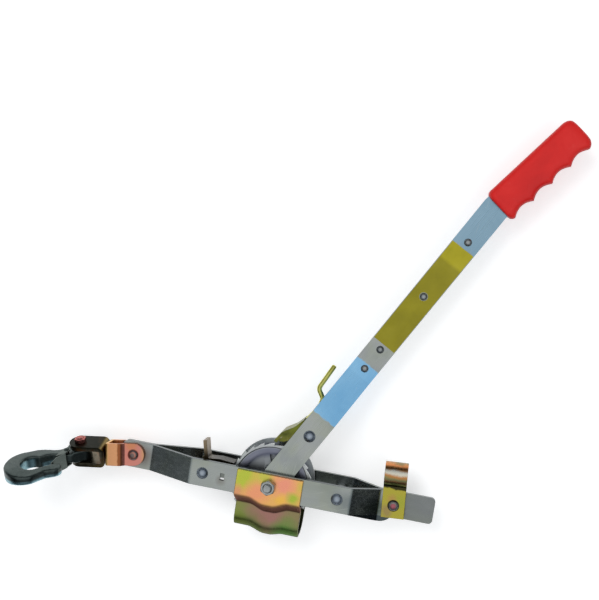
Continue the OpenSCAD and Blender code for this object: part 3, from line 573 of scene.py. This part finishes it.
# the hook carries a bluish painted reflection along its lower edge and inside its bowl
darkZinc = forgedFinish("darkZinc", (60, 69, 67), (98, 107, 104), 48, ("edgeReflection", (148, 184, 192)))
latchZinc = forgedFinish("latchZinc", (84, 92, 88), (112, 120, 115), 70)
brightZinc = forgedFinish("brightZinc", (150, 154, 154), (196, 200, 198), 90)
bluishZinc = forgedFinish("bluishZinc", (138, 148, 160), (188, 198, 208), 90)
springWire = forgedFinish("springWire", (116, 118, 114), (150, 152, 148), 200)


wheelRadius = 0.0395  # in metres, for the rings of painted light and shade


def castWheelFinish():  # die-cast wheel: rings of painted light and shade, a light rim and a purple-grey ring inside it as painted highlight, a dark line at the step as painted shade; soft cast skin
    f = Finish("castWheel")
    size = f.add("ShaderNodeVectorMath", operation="LENGTH")
    f.join(f.level(), size.inputs[0])
    share = f.math("DIVIDE", size.outputs["Value"], wheelRadius)
    # rings by radius: painted highlight on the rim and the ring inside it, painted shade at the step inside the
    # ring
    rings = f.tones(share, [
        (0.0, (164, 168, 168)), (0.62, (154, 158, 162)), (0.72, (112, 116, 132)),
        (0.78, (144, 146, 162)), (0.86, (140, 144, 158)), (0.91, (196, 200, 200)),
        (1.0, (214, 218, 216))])
    cloud = f.cloud(70, 4, 0.6)
    shade = f.ramp(cloud, [(0.3, (0.84, 0.84, 0.86, 1)), (0.7, (1.08, 1.08, 1.06, 1))])
    f.colour(f.times(rings, shade))
    skin = f.cloud(1400, 3, 0.6)
    f.roughness(f.spread(cloud, 0.3, 0.7, (0.34, 0.5)))
    f.bump(skin, 0.03, 0.6)
    return f.look


def vinylFinish():  # soft red vinyl: faint mould texture, slightly rubbed and dusty high spots
    f = Finish("gripVinyl", 0.0, Specular_IOR_Level=0.28, Coat_Weight=0.04, Coat_Roughness=0.35)
    cloud = f.cloud(22, 4, 0.6, 0.5)
    grain = f.cloud(2600, 2, 0.5)
    base = f.tones(cloud, [(0.28, (214, 30, 28)), (0.52, (227, 38, 35)), (0.75, (234, 50, 46))])
    scuff = f.spread(f.cloud(150, 5, 0.7, 1.2), 0.60, 0.72)
    f.colour(f.mix(f.math("MULTIPLY", scuff, 0.10), base, tone(222, 120, 112)))
    f.roughness(f.spread(f.math("ADD", cloud, f.math("MULTIPLY", grain, 0.4)), 0.5, 0.95, (0.40, 0.56)))
    f.bump(f.math("ADD", grain, f.math("MULTIPLY", f.cloud(420, 3), 0.8)), 0.06, 0.7)
    return f.look


def labelFinish():  # bare yellow label stock, rubbed and greyed a little along the strap, with painted light and shade along its length and a bluish painted highlight near its far end
    f = Finish("labelYellow", 0.0, Specular_IOR_Level=0.3, Coat_Weight=0.08, Coat_Roughness=0.3)
    rub = f.cloud(1.0, 4, 0.6, 0.0, f.turned(rest["handleTurn"], (10, 260, 260)))
    cloud = f.cloud(38, 4, 0.6)
    base = f.tones(cloud, [(0.3, (148, 139, 14)), (0.55, (162, 152, 20)), (0.75, (170, 160, 34))])
    marks = f.spread(rub, 0.60, 0.74)
    base = f.mix(f.math("MULTIPLY", marks, 0.22), base, tone(126, 120, 32))
    # painted light and shade along the label, ending in a bluish painted highlight
    ends = f.ramp(f.spread(f.axis("X", f.turned(rest["handleTurn"])), 0.180, 0.290), [
        (0.10, (0.86, 0.86, 0.9, 1)), (0.35, (0.98, 0.98, 1.0, 1)), (0.60, (0.84, 0.84, 0.96, 1)),
        (0.80, (0.88, 0.88, 1.0, 1)), (0.83, (1.28, 1.28, 1.5, 1))])
    f.colour(f.times(base, ends))
    f.roughness(f.spread(rub, 0.3, 0.7, (0.34, 0.52)))
    f.bump(f.cloud(900, 3), 0.01, 0.5)
    return f.look


def brassFinish():
    f = Finish("bushBrass")
    cloud = f.cloud(80, 4, 0.6)
    f.colour(f.tones(cloud, [(0.3, (142, 112, 62)), (0.7, (184, 150, 88))]))
    f.roughness(f.spread(cloud, 0.3, 0.7, (0.26, 0.42)))
    return f.look


halfStrap = 12.7
# the four darker spots on the front plate are painted shade: by the right bend, near the middle, at the left end
# and under the rope guide
plateZinc = platedStrap("plateZinc", 0, (), strapLook, [
    ((75, -1), 13, (128, 136, 138)), ((-47, -4), 6, (142, 142, 136)), ((-131, 0), 15, (116, 106, 102)),
    ((103, -5), 15, (70, 84, 72))], halfStrap)
# the rear plate in its darker colours, as painted shade
shadedRearPlateZinc = platedStrap("shadedRearPlateZinc", 0, (), shadedRearStrapLook)
handleZinc = platedStrap("handleZinc", rest["handleTurn"], [  # start and end in metres, then two tones of the sky-blue painted reflection along the straps
    (0.0832, 0.1475, (124, 183, 226), (143, 198, 236)),
    (0.2885, 0.450, (130, 164, 184), (148, 180, 200))])
castWheel = castWheelFinish()
gripVinyl = vinylFinish()
labelYellow = labelFinish()
bushBrass = brassFinish()
print("finishes ready")

roundedNode("front_side_plate", "frame", "plate_zinc", plateZinc, width=0.3, segments=3)
roundedNode("rear_side_plate", "frame", "plate_zinc", shadedRearPlateZinc, width=0.5, segments=3)

ropeGuard = {
    "length": 64.0,
    "thickness": 3.0,
    "top": 11.4,
    "earOffset": 24.5,  # from the middle plane to the middle of an ear
    "wallOffset": 17.5,
    "step": -13.5,  # where the ears turn inwards at the ends
    "stepWave": 5.0,  # how much lower that is in the middle
    "waveStart": (-19, -2),  # where it sinks, and below where it rises again
    "waveEnd": (5, 21),
    "stepHeight": 6.5,
    "stepRadius": 3.2,
    "bottom": -49.5,
    "hemRise": (4.5, 2.7),  # how much higher the hem is at the left and right ends
    "hemStart": (-19, -1),  # where the left rise fades, and below where the right one starts
    "hemEnd": (3, 17),
    "bottomRadius": 12.0,
    "skirtShift": 1.9,
    "columns": 72,
    "edgeWidth": 0.5,
}


def softRise(v, a, b):
    t = min(max((v - a) / (b - a), 0), 1)
    return t * t * (3 - 2 * t)


def guardStep(sizes, x):  # the crease: high at the ends and low over the middle, with soft shoulders
    wave = softRise(x, *sizes["waveStart"]) * (1 - softRise(x, *sizes["waveEnd"]))
    return sizes["step"] - sizes["stepWave"] * wave


def resample(line, count):  # the same number of points along every section
    lengths = [0.0]
    for a, b in zip(line, line[1:]):
        lengths.append(lengths[-1] + (b - a).length)
    out = []
    k = 0
    for i in range(count):
        want = lengths[-1] * i / (count - 1)
        while k < len(line) - 2 and lengths[k + 1] < want:
            k += 1
        t = (want - lengths[k]) / max(lengths[k + 1] - lengths[k], 1e-9)
        out.append(line[k].lerp(line[k + 1], min(max(t, 0), 1)))
    return out


def guardSection(sizes, x):  # down one wall, round the bottom and up the other
    step = guardStep(sizes, x)
    left, right = sizes["hemRise"]
    bottom = (sizes["bottom"] + left * (1 - softRise(x, *sizes["hemStart"]))
              + right * softRise(x, *sizes["hemEnd"]))
    ear, wall, r = sizes["earOffset"], sizes["wallOffset"], sizes["bottomRadius"]
    foot = step - sizes["stepHeight"]
    corners = [(sizes["top"], ear), (step, ear), (foot, wall), (bottom + r, wall)]
    line = roundCorners(corners, sizes["stepRadius"], 8)
    for i in range(1, 13):
        a = math.radians(90 + 90 * i / 12)
        line.append(Vector((bottom + r + r * math.cos(a), wall - r + r * math.sin(a), 0)))
    line.append(Vector((bottom, 0, 0)))
    upper = resample(line, 90)
    return upper + [Vector((p.x, -p.y, 0)) for p in reversed(upper[:-1])]


def makeRopeGuard(sizes):
    half, columns = sizes["length"] / 2, sizes["columns"]
    points, numbers = [], {"skirt": [], "crease": [], "hem": [], "under": []}
    for i in range(columns + 1):
        x = -half + sizes["length"] * i / columns
        step = guardStep(sizes, x)
        for p in guardSection(sizes, x):
            below = step - p.x  # how far under the crease
            points.append((x + (sizes["skirtShift"] - 0.5 * x / half) * softRise(below, -2, 8), p.x, midZ + p.y))
            # crease and under mark where the guard's finish paints shade
            numbers["skirt"].append(softRise(below, 1, 6))
            numbers["crease"].append(softRise(below, -2.2, 1.2) * (1 - softRise(below, 4.6, 8.4)))
            numbers["hem"].append(1 - softRise(p.y, 15.5, 17.2))
            numbers["under"].append(1 - softRise(p.y, 9.5, 13.5))
    width = len(points) // (columns + 1)
    faces = [(i * width + k, (i + 1) * width + k, (i + 1) * width + k + 1, i * width + k + 1)
             for i in range(columns) for k in range(width - 1)]
    obj = meshPiece("ropeGuard", points, faces)
    for name, values in numbers.items():
        writeNumbers(obj, name, values)
    faceOutwards(obj)
    wall = obj.modifiers.new("wall", "SOLIDIFY")
    wall.thickness = sizes["thickness"] * mm
    wall.offset = 0
    wall.use_even_offset = True
    bake(obj)
    bevel(obj, sizes["edgeWidth"], 3, 50)
    bake(obj)
    return smoothSides(obj, 40)


finish(makeRopeGuard(ropeGuard), "frame", "yellow_zinc", yellowZinc, "rope_guard")
roundedNode("rope_guide", "frame", "yellow_zinc", guideZinc, width=0.5, segments=3)
print("frame sheet pieces ready")

axleHardware = {  # the starts are above the low face of the head
    "acrossFlats": 12.7, "height": 6.0, "bore": 8.1,
    "shankRadius": 4.0, "shankStart": 5.0, "shankLength": 61.0, "nutStart": 58.0,
    "plainLength": 50.0, "pitch": 1.25, "threadDepth": 0.45,
}


def chamferedHex(name, acrossFlats, height, bore, where):  # a nut, or without a bore a bolt's head
    around, flatShare, boreChamfer, middle, lip = 72, 0.965, 0.6, 0.2, 0.02
    inscribed = acrossFlats / 2 * flatShare
    ring = []
    for k in range(around):
        a = 2 * math.pi * k / around
        turn = (a + math.pi / 6) % (math.pi / 3) - math.pi / 6
        ring.append((acrossFlats / 2 / math.cos(turn), a))

    def faceRows(slope):  # from the middle of an end face out to the corners: radius, angle and depth
        inner = [(bore / 2, boreChamfer), (bore / 2 + boreChamfer, 0.0)] if bore else [(middle, 0.0)]
        rows = [[(r, a, z) for _, a in ring] for r, z in inner + [(inscribed, 0.0)]]
        for share, extra in ((0.5, 0.0), (1.0, lip)):
            rows.append([])
            for r, a in ring:
                out = inscribed + (r - inscribed) * share
                rows[-1].append((out, a, max(0.0, out - inscribed) * slope + extra))
        return rows

    slope = math.tan(math.radians(30))
    low, top = faceRows(slope), faceRows(slope if bore else 0.0)  # a head is plain where the shank leaves it
    points = [(r * math.cos(a), r * math.sin(a), z) for row in low for r, a, z in row]
    points += [(r * math.cos(a), r * math.sin(a), height - z) for row in reversed(top) for r, a, z in row]
    faces = rowFaces(len(low) + len(top), around, capped=not bore, looped=bool(bore))
    return smoothSides(faceOutwards(meshPiece(name, points, faces, where)), 28)


def threadedBar(name, radius, length, plain, pitch, depth, where):  # a plain shank with a rolled thread at its top
    around, rows, steps = 40, [], [0.0, plain]
    while steps[-1] < length - 0.6:
        steps.append(steps[-1] + pitch / 8)
    for z in steps:
        fade = min(1, max(0, (z - plain) / 0.8))
        row = []
        for k in range(around):
            t = (z / pitch - k / around) % 1
            row.append((radius - depth * fade * abs(2 * t - 1), z))
        rows.append(row)
    rows.append([(radius - depth * 1.2, length - 0.35)] * around)
    rows.append([(radius - depth * 2.0, length)] * around)
    points = [(r * math.cos(2 * math.pi * k / around), r * math.sin(2 * math.pi * k / around), z)
              for row in rows for k, (r, z) in enumerate(row)]
    return smoothSides(faceOutwards(meshPiece(name, points, rowFaces(len(rows), around), where)), 60)


def makeBolt(name, sizes, where):
    head = chamferedHex(name + "Head", sizes["acrossFlats"], sizes["height"], 0, where)
    shank = threadedBar(name + "Shank", sizes["shankRadius"], sizes["shankLength"], sizes["plainLength"],
                        sizes["pitch"], sizes["threadDepth"], shifted(where, 0, 0, sizes["shankStart"]))
    work = bmesh.new()
    for part in (head, shank):
        work.from_mesh(part.data)
        bpy.data.objects.remove(part)
    mesh = bpy.data.meshes.new(name)
    work.to_mesh(mesh)
    work.free()
    return smoothSides(link(bpy.data.objects.new(name, mesh)), 35)


def makeNut(name, sizes, where):
    return chamferedHex(name, sizes["acrossFlats"], sizes["height"], sizes["bore"],
                        shifted(where, 0, 0, sizes["nutStart"]))


onAxle = Matrix.Identity(4)
finish(makeBolt("axleBolt", axleHardware, onAxle), "frame", "bright_zinc", brightZinc, "axle_bolt")
finish(makeNut("axleNut", axleHardware, onAxle), "frame", "bright_zinc", brightZinc, "axle_nut")

for node, look in (
        ("guide_rivet", guideRivetZinc), ("left_frame_rivet", bluishZinc), ("right_frame_rivet", bluishZinc),
        ("clevis_pin", clevisPinZinc), ("left_spacer", brightZinc), ("right_spacer", brightZinc),
        ("axle_sleeve", brightZinc)):
    roundedNode(node, "frame", "bright_zinc", look, width=0.25)
print("fasteners ready")

ropeWheel = {
    "ribs": 36,
    "ribRadius": 31.0,
    "ribLength": 12.0,
    "ribHeight": 0.9,
    "ribWidth": 1.6,
    "slope": (14.1, 9.1),  # how far a side of the rope groove runs outwards, and how far it rises on that way
    "slopeStart": (23, 1.5),  # radius and height above the middle plane
}


def ringOfRibs():  # copies of one rib stood round the axle
    tree = bpy.data.node_groups.new("ringOfRibs", "GeometryNodeTree")
    face = tree.interface
    sockets = {}
    for label, kind, way in (
            ("Geometry", "Geometry", "INPUT"), ("Rib count", "Int", "INPUT"), ("Ring radius", "Float", "INPUT"),
            ("Finish", "Material", "INPUT"), ("Geometry", "Geometry", "OUTPUT")):
        sockets[label] = face.new_socket(label, in_out=way, socket_type="NodeSocket" + kind).identifier
    nodes = tree.nodes
    given, result = nodes.new("NodeGroupInput"), nodes.new("NodeGroupOutput")
    circle = nodes.new("GeometryNodeMeshCircle")
    copies = nodes.new("GeometryNodeInstanceOnPoints")
    index = nodes.new("GeometryNodeInputIndex")
    share = nodes.new("ShaderNodeMath")
    share.operation = "DIVIDE"
    angle = nodes.new("ShaderNodeMath")
    angle.operation = "MULTIPLY"
    angle.inputs[1].default_value = 2 * math.pi
    turn = nodes.new("ShaderNodeCombineXYZ")
    real = nodes.new("GeometryNodeRealizeInstances")
    paint = nodes.new("GeometryNodeSetMaterial")
    for source, output, target, socket in (
            (given, "Rib count", circle, "Vertices"), (given, "Ring radius", circle, "Radius"),
            (circle, "Mesh", copies, "Points"), (given, "Geometry", copies, "Instance"),
            (index, "Index", share, 0), (given, "Rib count", share, 1), (share, "Value", angle, 0),
            (angle, "Value", turn, "Z"), (turn, "Vector", copies, "Rotation"),
            (copies, "Instances", real, "Geometry"), (real, "Geometry", paint, "Geometry"),
            (given, "Finish", paint, "Material"), (paint, "Geometry", result, "Geometry")):
        tree.links.new(source.outputs[output], target.inputs[socket])
    return tree, sockets


ribTree, ribInputs = ringOfRibs()


def wheelRibs(name, sizes, side):  # tapered ribs on one slope of the rope groove
    run, rise = sizes["slope"]
    half = sizes["ribLength"] / 2
    w, h = sizes["ribWidth"] / 2, sizes["ribHeight"]
    section = [(-w, -0.6), (-w * 0.55, h), (w * 0.55, h), (w, -0.6)]
    points = []
    for along, grow in ((-half, 0.5), (-half * 0.6, 1.0), (half * 0.7, 1.0), (half, 0.6)):
        for across, up in section:
            points.append((along, across, (up * grow if up > 0 else up) * -side))
    tilt = Matrix.Rotation(-math.atan2(rise, run) * side, 4, "Y")
    obj = faceOutwards(meshPiece(name, points, rowFaces(4, len(section)), tilt))
    mod = obj.modifiers.new("ring", "NODES")
    mod.node_group = ribTree
    mod[ribInputs["Rib count"]] = sizes["ribs"]
    mod[ribInputs["Ring radius"]] = sizes["ribRadius"] * mm
    mod[ribInputs["Finish"]] = castWheel
    bake(obj)
    startRadius, startHeight = sizes["slopeStart"]
    middle = startHeight + (sizes["ribRadius"] - startRadius) * rise / run
    obj.data.transform(Matrix.Translation((0, 0, (midZ + side * middle) * mm)))
    smoothSides(obj, 30)
    return finish(obj, "wheel", "cast_wheel", castWheel)


roundedNode("wheel_front_half", "wheel", "cast_wheel", castWheel, width=0.35, angle=25)
roundedNode("wheel_rear_half", "wheel", "cast_wheel", castWheel, width=0.35, angle=25)
wheelRibs("frontRopeRibs", ropeWheel, 1)
wheelRibs("rearRopeRibs", ropeWheel, -1)
roundedNode("wheel_bush", "wheel", "bush_brass", bushBrass, width=0.25)
roundedNode("wheel_rivets", "wheel", "bright_zinc", brightZinc, width=0.15)
print("rope wheel ready")

roundedNode("front_handle_strap", "handle", "handle_zinc", handleZinc, width=0.5, segments=3)
roundedNode("rear_handle_strap", "handle", "handle_zinc", handleZinc, width=0.5, segments=3)
roundedNode("handle_rivets", "handle", "bright_zinc", brightZinc, width=0.15)
roundedNode("drive_dog_pin", "handle", "bright_zinc", bluishZinc, width=0.2)
roundedNode("label_plate", "handle", "label_yellow", labelYellow, width=0.06)

grip = {
    "start": 3.0,
    "length": 101.0,
    "back": 15.5,
    "front": 18.6,
    "halfThick": 11.0,
    "firstBump": 7.5,
    "pitch": 22.5,
    "grooves": 4,
    "grooveDepth": 4.2,
    "grooveShape": 0.85,  # below 1 the grooves are wide and the bumps between them narrow
    "squareness": 0.52,  # 1 gives a round section, less a squarer one
    "nearEnd": {"length": 5.0, "front": 5.0, "back": 5.0, "thick": 2.4},  # how far the ends are rounded
    "farEnd": {"length": 9.0, "front": 9.0, "back": 6.0, "thick": 5.0},
    "stations": 150,
    "around": 56,
}


def gripFront(sizes, s):  # height of the finger side: wide scallops between narrow bumps
    t = (s - sizes["firstBump"]) / sizes["pitch"]
    if t < 0 or t > sizes["grooves"]:
        return sizes["front"]
    return sizes["front"] - sizes["grooveDepth"] * abs(math.sin(math.pi * t)) ** sizes["grooveShape"]


def endDrop(share):  # 1 at the very end, falling to 0 along a quarter of a round
    return 1 - math.sqrt(max(1 - (1 - min(1, share)) ** 2, 0))


def makeGrip(sizes):
    points = []
    n, around, power = sizes["stations"], sizes["around"], sizes["squareness"]
    near, far = sizes["nearEnd"], sizes["farEnd"]
    end = sizes["start"] + sizes["length"]
    for i in range(n + 1):
        s = sizes["start"] + sizes["length"] * i / n
        a, b = endDrop((s - sizes["start"]) / near["length"]), endDrop((end - s) / far["length"])
        front = gripFront(sizes, s) - near["front"] * a - far["front"] * b
        back = sizes["back"] - near["back"] * a - far["back"] * b
        thick = sizes["halfThick"] - near["thick"] * a - far["thick"] * b
        middle, halfWide = (back - front) / 2, (back + front) / 2
        for k in range(around):
            turn = 2 * math.pi * k / around
            c, q = math.cos(turn), math.sin(turn)
            points.append((s, middle + halfWide * math.copysign(abs(c) ** power, c),
                           thick * math.copysign(abs(q) ** power, q)))
    return smoothSides(faceOutwards(meshPiece("handleGrip", points, rowFaces(n + 1, around), toGrip)), 50)


finish(makeGrip(grip), "handle", "grip_vinyl", gripVinyl, "handle_grip")
print("handle ready")

fingerRod = {
    "path": [(68.9, 11.4), (85, 9.8), (94, 12.6), (99, 22), (125.3, 23.6)],
    "cornerRadius": 6,
    "radius": 2.3,
    "sides": 24,
}


def makeFingerRod(sizes):
    path = roundCorners(sizes["path"], sizes["cornerRadius"], 10)
    return tubeAlong("fingerRod", path, sizes["radius"], toHandle, sizes["sides"])


roundedNode("drive_dog", "drive_dog_body", "olive_zinc", dogZinc, width=0.5, segments=3)
finish(makeFingerRod(fingerRod), "drive_dog_body", "olive_zinc", rodZinc, "finger_rod")
roundedNode("stop_dog", "stop_dog_body", "brown_zinc", brownZinc, width=0.6, segments=3)

stopSpring = {"place": (-65.5, 0, 9.5), "radius": 7.1, "turns": 4, "pitch": 1.75, "start": 100, "legs": (3, 5),
              "wire": 0.58, "sides": 12}
driveSpring = {"place": (61.2, 0, -3.5), "radius": 5.1, "turns": 4, "pitch": 1.75, "start": 200, "legs": (3, 4),
               "wire": 0.58, "sides": 12}


def makeSpring(node, sizes, where, body):  # a coil with a straight leg at each end
    perTurn = 28
    radius, (legA, legB) = sizes["radius"], sizes["legs"]
    sweep = 2 * math.pi / perTurn
    turn = [math.radians(sizes["start"]) + i * sweep for i in range(int(sizes["turns"] * perTurn) + 1)]
    coil = [(radius * math.cos(a), radius * math.sin(a), sizes["pitch"] * i / perTurn) for i, a in enumerate(turn)]
    (x, y, z), a = coil[0], turn[0]
    first = (x + math.sin(a) * legA, y - math.cos(a) * legA, z)
    (x, y, z), a = coil[-1], turn[-1]
    last = (x - math.sin(a) * legB, y + math.cos(a) * legB, z)
    wire = tubeAlong(camel(node), [first] + coil + [last], sizes["wire"], shifted(where, *sizes["place"]),
                     sizes["sides"])
    return finish(wire, body, "spring_steel", springWire, node)


makeSpring("stop_dog_spring", stopSpring, toMid, "frame")
makeSpring("drive_dog_spring", driveSpring, toHandle, "handle")
print("dogs ready")

swivelYoke = {  # where the finish changes, in mm in the yoke's own frame
    "armInside": (6.4, 7.4),
    "bendStart": (27, 29),
    "bendEnd": (31.5, 33),
    "bendSide": (7.5, 9),
}


def bendEdge(p):  # the outer corners of the bends
    start, end, side = (swivelYoke[key] for key in ("bendStart", "bendEnd", "bendSide"))
    return softRise(p.x, *start) * (1 - softRise(p.x, *end)) * softRise(abs(p.z), *side)


roundedNode("clevis", "clevis_body", "copper_zinc", copperZinc, width=0.6, segments=3, name="clevisStrap")
yoke = roundedNode("swivel_yoke", "yoke_body", "olive_zinc", yokeZinc, width=0.9, segments=4)
paintPoints(yoke, "inside", toSwivel, lambda p: 1 - softRise(abs(p.z), *swivelYoke["armInside"]))
paintPoints(yoke, "bendEdge", toSwivel, bendEdge)
roundedNode("swivel_stud", "yoke_body", "olive_zinc", oliveZinc, width=0.3)

hookHardware = {
    "headStart": -15.3,  # from the middle of the yoke
    "acrossFlats": 10.0, "height": 4.0, "bore": 6.6,
    "shankRadius": 3.25, "shankStart": 2.0, "shankLength": 29.4, "nutStart": 26.6,
    "plainLength": 21.0, "pitch": 1.0, "threadDepth": 0.4,
}

onHookBolt = shifted(toSwivel, rest["hookBolt"], 0, hookHardware["headStart"])
finish(makeBolt("hookBolt", hookHardware, onHookBolt), "yoke_body", "red_zinc", redZinc, "hook_bolt")
finish(makeNut("hookNut", hookHardware, onHookBolt), "yoke_body", "red_zinc", redZinc, "hook_nut")

hookShape = {
    "voxel": 0.55,
    "smooth": 8,
    "round": 34,
    "eyeRadius": 10.5,
    "eyeFade": 9,  # how far outside the eye the rolling over reaches its full strength
    "swell": 0.3,
    "bowlSwell": 0.35,
    "bowlCentre": (55.5, 4.0),
    # how strong the painted reflection round the bowl's inside is
    "innerReflection": 0.85,
}


def makeHook(sizes):  # the forging: its CAD form with the edges rolled over, the eye kept crisper
    obj = cleanCopy("hook", "slipHook")
    grid = obj.modifiers.new("grid", "REMESH")
    grid.mode = "VOXEL"
    grid.voxel_size = sizes["voxel"] * mm
    bake(obj)
    bowl = obj.vertex_groups.new(name="bowl")
    back = toHook.inverted()
    eye = sizes["eyeRadius"]
    for v in obj.data.vertices:
        p = back @ (v.co / mm)
        bowl.add([v.index], softRise(math.hypot(p.x, p.y), eye, eye + sizes["eyeFade"]), "REPLACE")
    for name, rounds, group in (("relax", sizes["smooth"], ""), ("rollOver", sizes["round"], "bowl")):
        relax = obj.modifiers.new(name, "SMOOTH")
        relax.factor = 0.5
        relax.iterations = rounds
        relax.vertex_group = group
    for name, amount, group in (("swell", sizes["swell"], ""), ("bowlSwell", sizes["bowlSwell"], "bowl")):
        swell = obj.modifiers.new(name, "DISPLACE")
        swell.strength = amount * mm
        swell.mid_level = 0.0
        swell.vertex_group = group
    bake(obj)
    low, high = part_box("hook")
    for v in obj.data.vertices:  # never outside the forging's own box
        v.co = [min(max(c, a), b) for c, a, b in zip(v.co, low, high)]

    def paintedReflectionMask(p):  # where a bluish painted reflection goes: along the bowl's lower outer edge, and round its inside
        away = math.hypot(p.x - sizes["bowlCentre"][0], p.y - sizes["bowlCentre"][1])
        outer = (1 - softRise(p.z, -2.0, 0.4)) * softRise(away, 15, 18) * softRise(math.hypot(p.x, p.y), 20, 28)
        inner = sizes["innerReflection"] * (1 - softRise(away, 11.4, 13.0)) * (1 - softRise(p.z, 2.5, 5.0))
        return max(outer, inner)

    paintPoints(obj, "edgeReflection", toHook, paintedReflectionMask)
    return smoothSides(obj, 60)


finish(makeHook(hookShape), "hook_body", "dark_zinc", darkZinc, "hook")
roundedNode("latch_pin", "hook_body", "dark_zinc", darkZinc, width=0.15)
roundedNode("hook_latch", "latch_body", "latch_zinc", latchZinc, width=0.3)
latchSpring = {"place": (15.5, 2.5, 4.95), "radius": 2.1, "turns": 1.5, "pitch": 1.05, "start": 130,
               "legs": (1.5, 1.5), "wire": 0.29, "sides": 10}
makeSpring("latch_spring", latchSpring, toHook, "hook_body")
print("hook end ready")


studio = {
    "floorSize": 30.0,
    "floorDrop": 0.0005,  # under the part's lowest point
    "floorTone": 0.80,
    "floorLift": 0.50,  # own light of the floor as the camera and reflections see it
    "skyStrength": 0.85,
    "skyStops": [  # height of the direction, and level: nearly black from 13 to 32 degrees up
        (0.0, 0.42), (0.10, 0.38), (0.22, 0.01), (0.53, 0.01), (0.645, 0.60), (0.76, 0.64), (0.91, 0.96),
        (1.0, 1.0)],
    "skyCool": 0.2,  # how much bluer the darkest part is
    "lampTarget": (0, 0.1, 0),
    "lamps": {"keyLamp": ((-0.5, 0.9, 1.5), 0.9, 9), "fillLamp": ((0.9, -0.2, 1.4), 1.2, 4)},  # place, size, watts
    "lens": 58.72,
    "sensor": 36,
    "eye": (0.1196, 0.2544, 0.9561),
    "forward": (-0.1302, -0.082, -0.9881),
    "right": (0.9774, 0.1571, -0.1418),
}


def paleFloor(sizes):
    mesh = bpy.data.meshes.new("floor")
    s = sizes["floorSize"]
    mesh.from_pydata([(-s, -s, 0), (s, -s, 0), (s, s, 0), (-s, s, 0)], [], [(0, 1, 2, 3)])
    floor = link(bpy.data.objects.new("floor", mesh))
    floor.location.z = -sizes["floorDrop"]
    f = Finish("paleFloor", 0.0, Base_Color=grey(sizes["floorTone"]), Roughness=0.9, Specular_IOR_Level=0.1,
               Emission_Color=grey(1))
    rays = f.add("ShaderNodeLightPath").outputs
    seen = f.math("MAXIMUM", rays["Is Camera Ray"], rays["Is Glossy Ray"])
    seen = f.math("MAXIMUM", seen, rays["Is Transmission Ray"])
    f.join(f.math("MULTIPLY", seen, sizes["floorLift"]), f.shader.inputs["Emission Strength"])
    mesh.materials.append(f.look)


def softSky(sizes):  # bright overhead, a dark belt lower down, paler at the horizon
    world = bpy.data.worlds.new("softSky")
    bpy.context.scene.world = world
    world.use_nodes = True
    nodes, links = world.node_tree.nodes, world.node_tree.links
    back = nodes["Background"]
    place = nodes.new("ShaderNodeTexCoord")
    split = nodes.new("ShaderNodeSeparateXYZ")
    bar = nodes.new("ShaderNodeValToRGB")
    links.new(place.outputs["Generated"], split.inputs["Vector"])
    links.new(split.outputs["Z"], bar.inputs["Fac"])
    stops = []
    for at, level in sizes["skyStops"]:
        cool = sizes["skyCool"] * (1 - level)
        stops.append((at, (level * (1 - cool), level, level * (1 + cool), 1)))
    fillRamp(bar, stops)
    links.new(bar.outputs["Color"], back.inputs["Color"])
    back.inputs["Strength"].default_value = sizes["skyStrength"]


def softLamp(name, place, target, size, power):
    lamp = bpy.data.lights.new(name, "AREA")
    lamp.shape = "DISK"
    lamp.size = size
    lamp.energy = power
    obj = link(bpy.data.objects.new(name, lamp))
    obj.location = place
    obj.rotation_euler = (Vector(target) - Vector(place)).to_track_quat("-Z", "Y").to_euler()
    obj.visible_glossy = False


def makeCamera(sizes):
    lens = bpy.data.cameras.new("camera")
    lens.sensor_fit = "HORIZONTAL"
    lens.sensor_width = sizes["sensor"]
    lens.lens = sizes["lens"]
    lens.clip_end = 100
    obj = link(bpy.data.objects.new("camera", lens))
    forward = Vector(sizes["forward"]).normalized()
    right = Vector(sizes["right"])
    right = (right - forward * right.dot(forward)).normalized()
    up = right.cross(forward)
    turn = Matrix((right, up, -forward)).transposed().to_4x4()
    obj.matrix_world = Matrix.Translation(sizes["eye"]) @ turn
    bpy.context.scene.camera = obj


paleFloor(studio)
softSky(studio)
for name, (place, size, power) in studio["lamps"].items():
    softLamp(name, place, studio["lampTarget"], size, power)
makeCamera(studio)
bpy.context.scene.view_settings.view_transform = "Standard"

print("scene ready")
